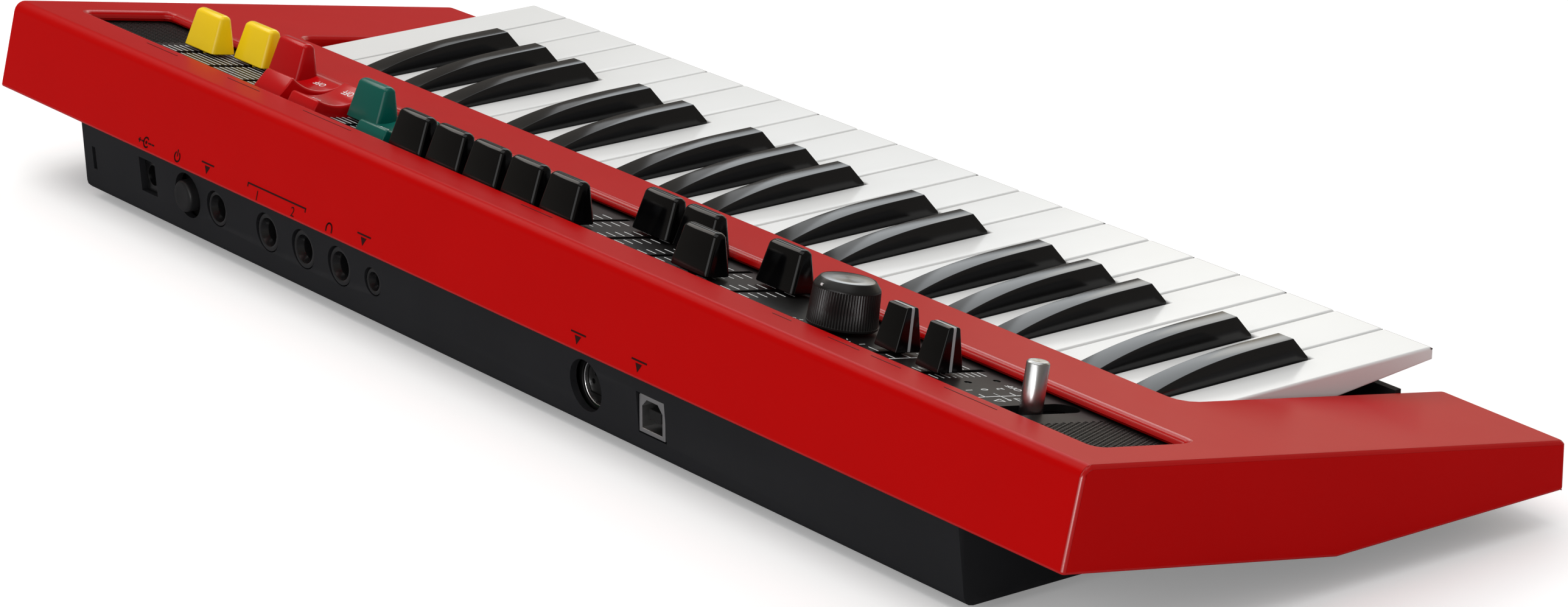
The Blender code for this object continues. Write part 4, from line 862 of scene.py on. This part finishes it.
def dial_marks():
    """Five numbered ticks round the dial."""
    half = MARK_WIDTH / 2
    for k in range(5):
        angle = math.radians(90 + (k - 2) * 30)
        tick = flat_mark(*DIAL_TICK, -half, half)
        bmesh.ops.rotate(tick, verts=tick.verts, matrix=Matrix.Rotation(angle, 3, "Z"))
        bmesh.ops.translate(tick, verts=tick.verts, vec=(*DIAL, 0.0))
        yield tick
        x, along = [DIAL[i] + DIAL_FIGURE_RADIUS * share for i, share in
                    enumerate((math.cos(angle), math.sin(angle)))]
        yield figure(str(5 - k), 2.6, (x, along))


def lever_marks():
    """A numbered line beside the lever, with a dot and two open pointers."""
    line, rear, front = LEVER_LINE
    dot, middle = LEVER_DOT
    yield stroke(line, rear, line, front)
    yield stroke(-191.4, middle, dot, middle)
    yield slab(circle(dot, middle, 0.55, 16), PRINT_LOW, PRINT_HIGH)
    for along, way in ((-28.7, 1.0), (-36.2, -1.0)):
        base = along - 1.3 * way
        corners = ((dot - 1.2, base), (dot + 1.2, base), (dot, along + 1.5 * way))
        for start, end in zip(corners, corners[1:] + corners[:1]):
            yield stroke(*start, *end, 0.28)
    for along, words in LEVER_STEPS:
        if words != "OFF":
            yield stroke(-191.6, along, line, along)
        yield figure(words, 3.2, (-187.6, along))


def make_scales():
    """The white print of the panel, as one piece."""
    marks = [*slot_scales(), *octave_marks(), *dial_marks(), *lever_marks()]
    piece("panel_scales", merge(marks), "key_white", finish=PRINT_WHITE, at=deck_place(0.0, 0.0),
          smooth=40.0)


WALL_TOP = (80.55, 54.0)
WALL_FOOT = (87.25, 26.8)
WALL_MARK = 0.5
SIGN_Z = 29.8
SIGN_LOW, SIGN_HIGH = -0.1, 0.07
DASH_ALONG = -12.3
# Place across the deck and half length of each dash
DECK_MARKS = ((194.0, 9.0), (146.0, 9.0), (99.0, 13.0), (-10.9, 7.5), (-125.7, 4.0), (-152.5, 6.5),
              (-170.5, 6.0), (-205.4, 10.5))


def wall_place(x, z):
    """The matrix that stands a mark on the leaning rear wall, to be read from behind."""
    share = (WALL_TOP[1] - z) / (WALL_TOP[1] - WALL_FOOT[1])
    y = WALL_TOP[0] + (WALL_FOOT[0] - WALL_TOP[0]) * share
    left = Vector((-1.0, 0.0, 0.0))
    up = Vector((0.0, WALL_TOP[0] - WALL_FOOT[0], WALL_TOP[1] - WALL_FOOT[1])).normalized()
    turn = Matrix((left, up, left.cross(up))).transposed().to_4x4()
    return Matrix.Translation(Vector((x, y, z)) * MM) @ turn


def dark_line(x0, y0, x1, y1, width=WALL_MARK):
    """A straight dark line, a little proud of the case."""
    return stroke(x0, y0, x1, y1, width, SIGN_LOW, SIGN_HIGH)


def arc(x, y, radius, start, end, steps=14):
    """Short lines that follow a round arc, in degrees."""
    angles = [math.radians(start + (end - start) * k / steps) for k in range(steps + 1)]
    points = [(x + radius * math.cos(angle), y + radius * math.sin(angle)) for angle in angles]
    return [dark_line(*a, *b) for a, b in zip(points, points[1:])]


def pointer_down(size=1.5):
    """A small filled pointer with a line over it."""
    return [slab(((size, 0.8 * size), (-size, 0.8 * size), (0, -0.8 * size)), SIGN_LOW, SIGN_HIGH),
            dark_line(-2.2 * size, 1.3 * size, 2.2 * size, 1.3 * size)]


def bracket(half, high, low):
    """A line across with both of its ends turned down."""
    return [dark_line(-half, high, half, high), dark_line(-half, high, -half, low),
            dark_line(half, high, half, low)]


def pole_signs():
    """A dot in an open ring, between a plus and a minus."""
    lines = ((1.4, 0, 2.6, 0), (-2.6, 0, -1.4, 0), (3.4, 0, 4.4, 0), (-4.4, 0, -3.4, 0),
             (-3.9, -0.5, -3.9, 0.5))
    return arc(0, 0, 1.5, 50, 310) + arc(0, 0, 0.25, 0, 360, 6) + [dark_line(*line) for line in lines]


def output_signs():
    """The numbers 1 and 2 under one bracket."""
    return bracket(16.0, 1.9, 1.0) + [thicken(flat_text(words, 4.2, (x, -0.8)), SIGN_HIGH, 0.16)
                                      for words, x in (("1", -10.3), ("2", 9.6))]


def phone_bow():
    """A head bow with a pad at each end."""
    return arc(0, -0.6, 1.5, 0, 180) + [dark_line(x, -0.6, x, -1.4, 0.6) for x in (-1.5, 1.5)]


def make_wall_marks():
    """A plain dark sign over each socket."""
    power = arc(0, 0, 1.5, 130, 410) + [dark_line(0, 0.3, 0, 2.0)]
    signs = (("poles", 174.6, pole_signs()), ("power", 156.2, power), ("foot", 138.9, pointer_down()),
             ("outputs", 99.7, output_signs()), ("phones", 70.1, phone_bow()),
             ("mini", 52.0, pointer_down()), ("round", -56.4, pointer_down()),
             ("square", -85.1, pointer_down()))
    for name, x, bodies in signs:
        piece("wall_sign_" + name, merge(bodies), "cap_black", finish=PRINT_DARK,
              at=wall_place(x, SIGN_Z), smooth=40.0)


def make_deck_marks():
    """Faint dark dashes behind the groups of controls."""
    bodies = [dark_line(x - half, DASH_ALONG, x + half, DASH_ALONG, 0.3) for x, half in DECK_MARKS]
    piece("deck_dashes", merge(bodies), "cap_black", finish=PRINT_DARK, at=deck_place(0.0, 0.0),
          smooth=40.0)


make_panel()
make_scales()
make_wall_marks()
make_deck_marks()

# ---------------------------------------------------------------- black keys

KEY_TOP = 36.0
KEY_PITCH = 19.48
KEYBED_LEFT = -11 * KEY_PITCH
BLACK_FRONT = -51.0
BLACK_REAR = 5.95
BLACK_NOSE = 4.0
BLACK_STEPS = 26
BLACK_RISE = 6.0
BLACK_WIDTHS = (9.1, 6.3)
BLACK_UNDER = 29.0
BLACK_EDGE = 0.3
BLACK_PLACES = ((1, -1.6), (2, 1.6), (4, -2.1), (5, 0.0), (6, 2.1))
ARM_HALF = 3.0
ARM_UNDER = 30.8
COMB_BAR = (30.6, 34.6, 28.5, 33.5)
COMB_END = 3.5
ARCH_START = 0.2
ARCH_POWER = 2.45
ARCH_FALL = 0.87


def black_share(y):
    """Height of a black key's top above the whites, as a share of its full rise."""
    if y < BLACK_FRONT + BLACK_NOSE:
        return 0.08 + 0.92 * (y - BLACK_FRONT) / BLACK_NOSE
    run = (y - BLACK_FRONT) / (BLACK_REAR - BLACK_FRONT)
    return 1.0 - ARCH_FALL * max((run - ARCH_START) / (1.0 - ARCH_START), 0.0) ** ARCH_POWER


def black_key(x):
    """A black key that narrows upwards, and the arm behind it."""
    start = BLACK_FRONT + BLACK_NOSE
    stations = [BLACK_FRONT, start]
    stations += [start + (BLACK_REAR - BLACK_FRONT - BLACK_NOSE) * k / BLACK_STEPS
                 for k in range(1, BLACK_STEPS + 1)]
    wide, slim = BLACK_WIDTHS[0] / 2, BLACK_WIDTHS[1] / 2
    rings = []
    for y in stations:
        share = black_share(y)
        top = KEY_TOP + BLACK_RISE * share
        narrow = wide - (wide - slim) * share
        edge = min(BLACK_EDGE, BLACK_EDGE * BLACK_RISE * share)
        outline = rounded([(x - wide, BLACK_UNDER, 0.0), (x + wide, BLACK_UNDER, 0.0),
                           (x + wide, KEY_TOP, 0.0), (x + narrow, top, edge), (x - narrow, top, edge),
                           (x - wide, KEY_TOP, 0.0)], 4)
        rings.append([(px, y, pz) for px, pz in outline])
    arm = block(x - ARM_HALF, x + ARM_HALF, BLACK_REAR + GAP, COMB_BAR[0] - GAP, ARM_UNDER, KEY_TOP - 0.5)
    return [loft(rings), arm]


def make_black_keys(number):
    """The five black keys of an octave on their rear bar."""
    centres = [KEYBED_LEFT + (7 * number + place) * KEY_PITCH + shift for place, shift in BLACK_PLACES]
    bodies = [part for x in centres for part in black_key(x)]
    bodies.append(block(centres[0] - COMB_END, centres[-1] + COMB_END, *COMB_BAR))
    node = f"black_keys_{number + 1}"
    piece(node + "_moulding", merge(bodies), "key_black", node, smooth=34.0, soft=(0.14, 2, 38.0),
          stands_for=node)


for comb_number in range(3):
    make_black_keys(comb_number)

# ---------------------------------------------------------------- rear sockets

SOCKET_Z = 16.6
SOCKET_FACE = 82.5
HOUSING_FACE = 79.0
HOUSING_BACK = 64.0
FLOOR_TOP = 5.1
BOARD_LOW = 7.2
BOARD_HIGH = 8.8
BOARD_REAR = 78.6
PILLAR_INSET = 5.2
CORE = 0.2
# Place across, outer radius and bore radius of each jack
JACKS = ((140.0, 5.4, 3.3), (111.1, 5.9, 3.3), (91.0, 5.9, 3.3), (71.1, 5.9, 3.3), (53.1, 4.1, 1.9))
JACK_DEPTH = 12.0
INLET_X = 180.6
POWER_X = 157.0
ROUND_SOCKET = (-54.8, 15.4)
SQUARE_SOCKET = (-85.8, 15.0)
# Left, right, front, rear and height of each chip
JACK_CHIPS = ((168.0, 172.5, 62.0, 66.5, 1.4), (124.0, 129.0, 61.5, 66.0, 1.4))
MAIN_CHIPS = ((-138.0, -126.0, 44.0, 56.0, 2.0), (-112.0, -104.0, 46.0, 54.0, 1.4),
              (-90.0, -84.0, 46.0, 50.0, 1.2),
              (SQUARE_SOCKET[0] - 6.0, SQUARE_SOCKET[0] + 6.0, 67.2, 69.1, 11.0))
# Radius and place along Y of turned parts
INLET_PIN = ((0.95, 70.4), (0.95, 78.4), (0.85, 78.8), (0.6, 79.1), (0.3, 79.25))
POWER_BUTTON = ((5.0, 74.1), (5.0, 84.0), (4.93, 84.4), (4.72, 84.75), (4.4, 84.98), (4.0, 85.08),
                (3.0, 85.0), (1.5, 84.92), (CORE, 84.9))
ROUND_BODY = ((CORE, HOUSING_BACK), (8.6, HOUSING_BACK), (8.6, 78.7), (8.4, HOUSING_FACE),
              (7.3, HOUSING_FACE), (7.1, 78.8), (7.1, 72.0), (CORE, 72.0))
ROUND_SHELL = ((6.35, 72.1), (6.95, 72.1), (6.95, 78.5), (6.85, 78.7), (6.6, 78.75), (6.4, 78.6),
               (6.35, 78.4))
CONTACT_HOLES = (5, 3.6, 0.75)


def make_board(name, x0, x1, front, node, chips):
    """A circuit board on its four pillars, with the chips that stand on it."""
    bodies = [block(x0, x1, front, BOARD_REAR, BOARD_LOW, BOARD_HIGH)]
    for x in (x0 + PILLAR_INSET, x1 - PILLAR_INSET):
        for y in (front + PILLAR_INSET, BOARD_REAR - PILLAR_INSET):
            bodies.append(turned([(2.6, FLOOR_TOP), (2.6, BOARD_LOW - GAP)], 24, (x, y)))
            bodies.append(turned([(2.3, BOARD_HIGH + GAP), (2.3, BOARD_HIGH + 0.8),
                                  (1.6, BOARD_HIGH + 1.2)], 24, (x, y)))
    bodies += [block(*sides, BOARD_HIGH + 0.02, BOARD_HIGH + height) for *sides, height in chips]
    piece(name, merge(bodies), "board_green", soft=(0.15,), stands_for=node)


def jack(x, radius, bore):
    """A jack socket: collar with a rounded rim, tapered mouth, bore and housing."""
    mouth = bore + 0.3 * (radius - bore)
    housing = radius + 1.0
    end = SOCKET_FACE - JACK_DEPTH
    return turned_y([(CORE, HOUSING_BACK), (housing, HOUSING_BACK), (housing, HOUSING_FACE),
                     (radius, HOUSING_FACE), (radius, SOCKET_FACE - 0.35), (radius - 0.1, SOCKET_FACE - 0.1),
                     (radius - 0.35, SOCKET_FACE), (mouth + 0.55, SOCKET_FACE),
                     (mouth + 0.3, SOCKET_FACE - 0.12), (bore + 0.15, SOCKET_FACE - 2.0),
                     (bore, SOCKET_FACE - 2.3), (bore, end), (CORE, end)], x, SOCKET_Z)


def make_jacks():
    """The jack sockets, and the contact spring in each wide bore."""
    piece("jack_sockets", merge([jack(*row) for row in JACKS]), "base_black", finish=JACK_BLACK,
          smooth=32.0)
    springs = [block(x - 0.8, x + 0.8, SOCKET_FACE - 9.5, SOCKET_FACE - 6.0, SOCKET_Z - bore + GAP,
                     SOCKET_Z - bore + 0.5) for x, _, bore in JACKS if bore > 3.0]
    piece("jack_contacts", merge(springs), "steel", soft=(0.15,))


def make_inlet():
    """The power inlet: a square body with a round mouth and a pin."""
    outline = round_box(4.4, 5.2, 0.4, INLET_X, SOCKET_Z, 3)
    front = upright(plate(outline, [circle(INLET_X, SOCKET_Z, 3.2, 48)], -80.9, -70.6))
    back = block(INLET_X - 4.3, INLET_X + 4.3, HOUSING_BACK, 70.5, SOCKET_Z - 5.1, SOCKET_Z + 5.1)
    foot = block(INLET_X - 3.7, INLET_X + 3.7, HOUSING_BACK + 1.0, 77.6, BOARD_HIGH + 0.05,
                 SOCKET_Z - 5.15)
    piece("power_inlet_body", merge([front, back, foot]), "base_black", finish=JACK_BLACK, soft=(0.2,))
    piece("power_inlet_pin", turned_y(INLET_PIN, INLET_X, SOCKET_Z, 32), "steel", smooth=60.0)


def make_power_switch():
    """The switch body, and the round button in it."""
    outline = round_box(7.2, 7.0, 0.6, POWER_X, 16.2, 3)
    front = upright(plate(outline, [circle(POWER_X, SOCKET_Z, 5.3, 48)], -HOUSING_FACE, -71.5))
    back = block(POWER_X - 7.1, POWER_X + 7.1, HOUSING_BACK, 71.4, 9.3, 23.1)
    # The switch body is a real part, in a black darkened as painted shade behind the opening
    piece("power_switch_body", merge([front, back]), "base_black", finish=SHADOW_BLACK, soft=(0.2,))
    piece("power_button_cap", turned_y(POWER_BUTTON, POWER_X, SOCKET_Z), "cap_black", "power_button",
          BUTTON_BLACK, smooth=40.0, stands_for="power_button")


def make_round_socket():
    """A round socket: body, bright shell, and an insert with five contact holes."""
    x, z = ROUND_SOCKET
    foot = block(x - 7.6, x + 7.6, 65.0, 78.0, BOARD_HIGH + 0.05, z - 4.0)
    # The socket body is a real part, in a black darkened as painted shade inside the socket
    piece("round_socket_body", merge([turned_y(ROUND_BODY, x, z, 72), foot]), "base_black",
          finish=SHADOW_BLACK, smooth=32.0)
    piece("round_socket_shell", turned_y(ROUND_SHELL, x, z, 72, closed=True), "steel",
          finish=BRIGHT_RING, smooth=50.0)
    count, ring, radius = CONTACT_HOLES
    angles = [math.pi * k / (count - 1) for k in range(count)]
    holes = [circle(x + ring * math.cos(angle), z - 0.8 + ring * math.sin(angle), radius, 16)
             for angle in angles]
    insert = upright(plate(circle(x, z, 5.95, 64), holes, -77.6, -72.1))
    key_tab = block(x - 1.1, x + 1.1, 72.2, 78.3, z - 6.3, z - 5.97)
    piece("round_socket_insert", merge([insert, key_tab]), "base_black", finish=INSERT_BLACK, soft=(0.1,))


def make_square_socket():
    """The tongue inside the square metal shell."""
    x, z = SQUARE_SOCKET
    tongue = block(x - 2.8, x + 2.8, 69.2, 81.5, z - 1.6, z + 1.6)
    root = block(x - 4.6, x + 4.6, 69.0, 70.2, z - 4.1, z + 2.2)
    piece("square_socket_tongue", merge([root, tongue]), "base_black", finish=INSERT_BLACK, soft=(0.3,))


make_board("jack_board_plate", 45.0, 187.0, 60.0, "jack_board", JACK_CHIPS)
make_board("main_board_plate", -150.0, -36.0, 38.0, "main_board", MAIN_CHIPS)
make_jacks()
make_inlet()
make_power_switch()
make_round_socket()
make_square_socket()

# ---------------------------------------------------------------- underside

UNDERSIDE = 2.8
SCREWS = ((-208, -30), (-208, 42), (208, -30), (208, 42), (-104, -50), (0, -50), (104, -50),
          (-104, 66), (104, 66))
SCREW_RADIUS = 3.0
CROSS_ARM, CROSS_HALF = 1.7, 0.5
COVER = (62.0, 27.0, 0.0, 12.0)
GRIP_STEP = 2.4


def make_screws():
    """Cross-headed screws that hold the base, seen from below."""
    arm, half = CROSS_ARM, CROSS_HALF
    cross = [(-half, -arm), (half, -arm), (half, -half), (arm, -half), (arm, half), (half, half),
             (half, arm), (-half, arm), (-half, half), (-arm, half), (-arm, -half), (-half, -half)]
    heads = [plate(circle(x, y, SCREW_RADIUS), [[(x + px, y + py) for px, py in cross]],
                   UNDERSIDE - 0.6, UNDERSIDE - 0.02) for x, y in SCREWS]
    piece("base_screws", merge(heads), "steel", soft=(0.15,))


def make_battery_cover():
    """A battery cover with a finger catch and four grip ribs."""
    half_x, half_y, x, y = COVER
    catch = round_box(9.0, 4.0, 3.5, x, y + half_y - 7.5)
    bodies = [plate(round_box(half_x, half_y, 2.5, x, y), [catch], UNDERSIDE - 0.5, UNDERSIDE - 0.02)]
    for k in range(4):
        along = y + half_y - 15.0 - GRIP_STEP * k
        bodies.append(block(x - 12.0, x + 12.0, along - 0.5, along + 0.5, UNDERSIDE - 0.85,
                            UNDERSIDE - 0.51))
    piece("battery_cover", merge(bodies), "base_black", soft=(0.2,))


make_screws()
make_battery_cover()

# ---------------------------------------------------------------- nodes that keep their shape

EDGE_WIDTHS = {"bottom_case": 0.45, "panel_board": 0.15, "usb_shell": 0.15}
replaced = {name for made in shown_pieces() for name in made.get("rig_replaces", ())}
for node_name, node_object in nodes.items():
    if node_name in replaced:
        continue
    node_finish = FINISH[node_object.data.materials[0].name.split(".")[0]]
    if node_name.startswith("white_key"):
        dress_node(node_name, node_finish, 0.6, 3, held=False)
    elif node_name == "top_case":
        dress_node(node_name, node_finish, 0.8, 3, RED_EDGE, held=False)
    else:
        dress_node(node_name, node_finish, EDGE_WIDTHS.get(node_name, 0.3))

# ---------------------------------------------------------------- floor, world, lamps, camera

FLOOR_HALF = 9000.0
FLOOR_DROP = 0.02
PALE, MIRRORED_FLOOR = (0.93, 0.93, 0.93, 1.0), (0.24, 0.24, 0.25, 1.0)
WHITE = (1.0, 1.0, 1.0, 1.0)
# Colour and strength of the world as light, in reflections, and as the camera sees it
WORLD = ((WHITE, 0.42), ((1.0, 0.92, 0.82, 1.0), 0.19), (WHITE, 1.0))
# Name, place, aim and size in metres, power in watts, and colour
LAMPS = (("overhead_box", (-0.1, 0.25, 1.7), (0.0, 0.0, 0.0), (2.2, 1.4), 11.0, (1.0, 1.0, 1.0)),
         ("right_box", (1.35, 0.1, 1.38), (0.0, 0.0, 0.05), (1.3, 0.9), 9.0, (1.0, 0.95, 0.9)),
         ("key_box", (1.1, -0.92, 1.03), (-0.1, 0.0, 0.05), (0.62, 0.9), 1.5, (0.93, 0.97, 1.0)),
         ("rear_box", (-0.5, 2.2, 0.9), (0.0, 0.0, 0.0), (2.0, 1.2), 12.5, (1.0, 1.0, 1.0)),
         ("rear_strip", (-1.68, 2.2, 0.31), (0.0, 0.0, 0.05), (0.26, 0.6), 22.0, (1.0, 1.0, 1.0)),
         ("front_box", (0.9, -2.3, 0.75), (0.0, 0.0, 0.1), (2.4, 1.3), 6.8, (1.0, 0.9, 0.72)),
         ("side_box", (1.114, -1.328, 1.404), (0.0, 0.0, 0.05), (1.25, 1.75), 8.2, (0.9, 0.96, 1.0)))
GLOSS_ONLY = "rear_strip"


def make_floor():
    """A pale floor that stays darker where gloss mirrors it."""
    made, tree, shader, place = new_material("pale_floor")
    marks = fill_group(tree, HANDLING_MARKS, Place=place, Cloud_Size=0.4, Gloss=0.8, Change=0.05)
    path = add(tree, "ShaderNodeLightPath").outputs
    tint = mixed(tree, path["Is Glossy Ray"], PALE, MIRRORED_FLOOR)
    give(tree, shader, {"Roughness": marks["Roughness"], "Specular IOR Level": 0.1, "Base Color": tint})
    glow = add(tree, "ShaderNodeEmission", {"Color": WHITE, "Strength": 0.22})
    nothing = add(tree, "ShaderNodeEmission", {"Strength": 0.0})
    lift = add(tree, "ShaderNodeMixShader", {0: path["Is Camera Ray"], 1: nothing.outputs[0],
                                             2: glow.outputs[0]})
    both = add(tree, "ShaderNodeAddShader", {0: shader.outputs[0], 1: lift.outputs[0]})
    give(tree, tree.nodes["Material Output"], {"Surface": both.outputs[0]})
    bm = bmesh.new()
    corners = ((-FLOOR_HALF, -FLOOR_HALF), (FLOOR_HALF, -FLOOR_HALF), (FLOOR_HALF, FLOOR_HALF),
               (-FLOOR_HALF, FLOOR_HALF))
    bm.faces.new([bm.verts.new((x, y, 0.0)) for x, y in corners])
    floor = as_object("floor", bm, made)
    floor.location.z = -FLOOR_DROP * MM


def make_world():
    """White to the camera, and dimmer as light and in reflections."""
    world = bpy.data.worlds.new("studio")
    bpy.context.scene.world = world
    world.use_nodes = True
    tree = world.node_tree
    tree.nodes.clear()
    room, mirror, seen = [add(tree, "ShaderNodeBackground", {"Color": colour, "Strength": strength})
                          .outputs[0] for colour, strength in WORLD]
    path = add(tree, "ShaderNodeLightPath").outputs
    first = add(tree, "ShaderNodeMixShader", {0: path["Is Glossy Ray"], 1: room, 2: mirror}).outputs[0]
    shown = maths(tree, "MAXIMUM", path["Is Camera Ray"], path["Is Transmission Ray"])
    last = add(tree, "ShaderNodeMixShader", {0: shown, 1: first, 2: seen}).outputs[0]
    add(tree, "ShaderNodeOutputWorld", {"Surface": last}).is_active_output = True


def add_lamp(name, place, aim, size, watts, colour):
    """A soft rectangular lamp."""
    lamp = bpy.data.lights.new(name, "AREA")
    lamp.shape = "RECTANGLE"
    lamp.size, lamp.size_y = size
    lamp.energy = watts
    lamp.color = colour
    made = bpy.data.objects.new(name, lamp)
    bpy.context.scene.collection.objects.link(made)
    made.location = place
    made.rotation_euler = (Vector(aim) - Vector(place)).to_track_quat("-Z", "Y").to_euler()
    made.visible_diffuse = name != GLOSS_ONLY


def make_camera():
    """The camera where the photograph was taken."""
    lens = bpy.data.cameras.new("photo_camera")
    lens.sensor_fit = "HORIZONTAL"
    lens.sensor_width = SENSOR_WIDTH
    lens.lens = FOCAL_PIXELS * SENSOR_WIDTH / PHOTO_WIDTH
    lens.clip_start, lens.clip_end = 0.05, 50.0
    made = bpy.data.objects.new("photo_camera", lens)
    bpy.context.scene.collection.objects.link(made)
    look = Vector(CAMERA_LOOK).to_track_quat("-Z", "Y").to_matrix().to_4x4()
    roll = Matrix.Rotation(CAMERA_ROLL, 4, "Z")
    made.matrix_world = Matrix.Translation(Vector(CAMERA_PLACE) * MM) @ look @ roll
    bpy.context.scene.camera = made


bpy.context.scene.view_settings.view_transform = "Standard"
make_floor()
make_world()
for lamp_row in LAMPS:
    add_lamp(*lamp_row)
make_camera()
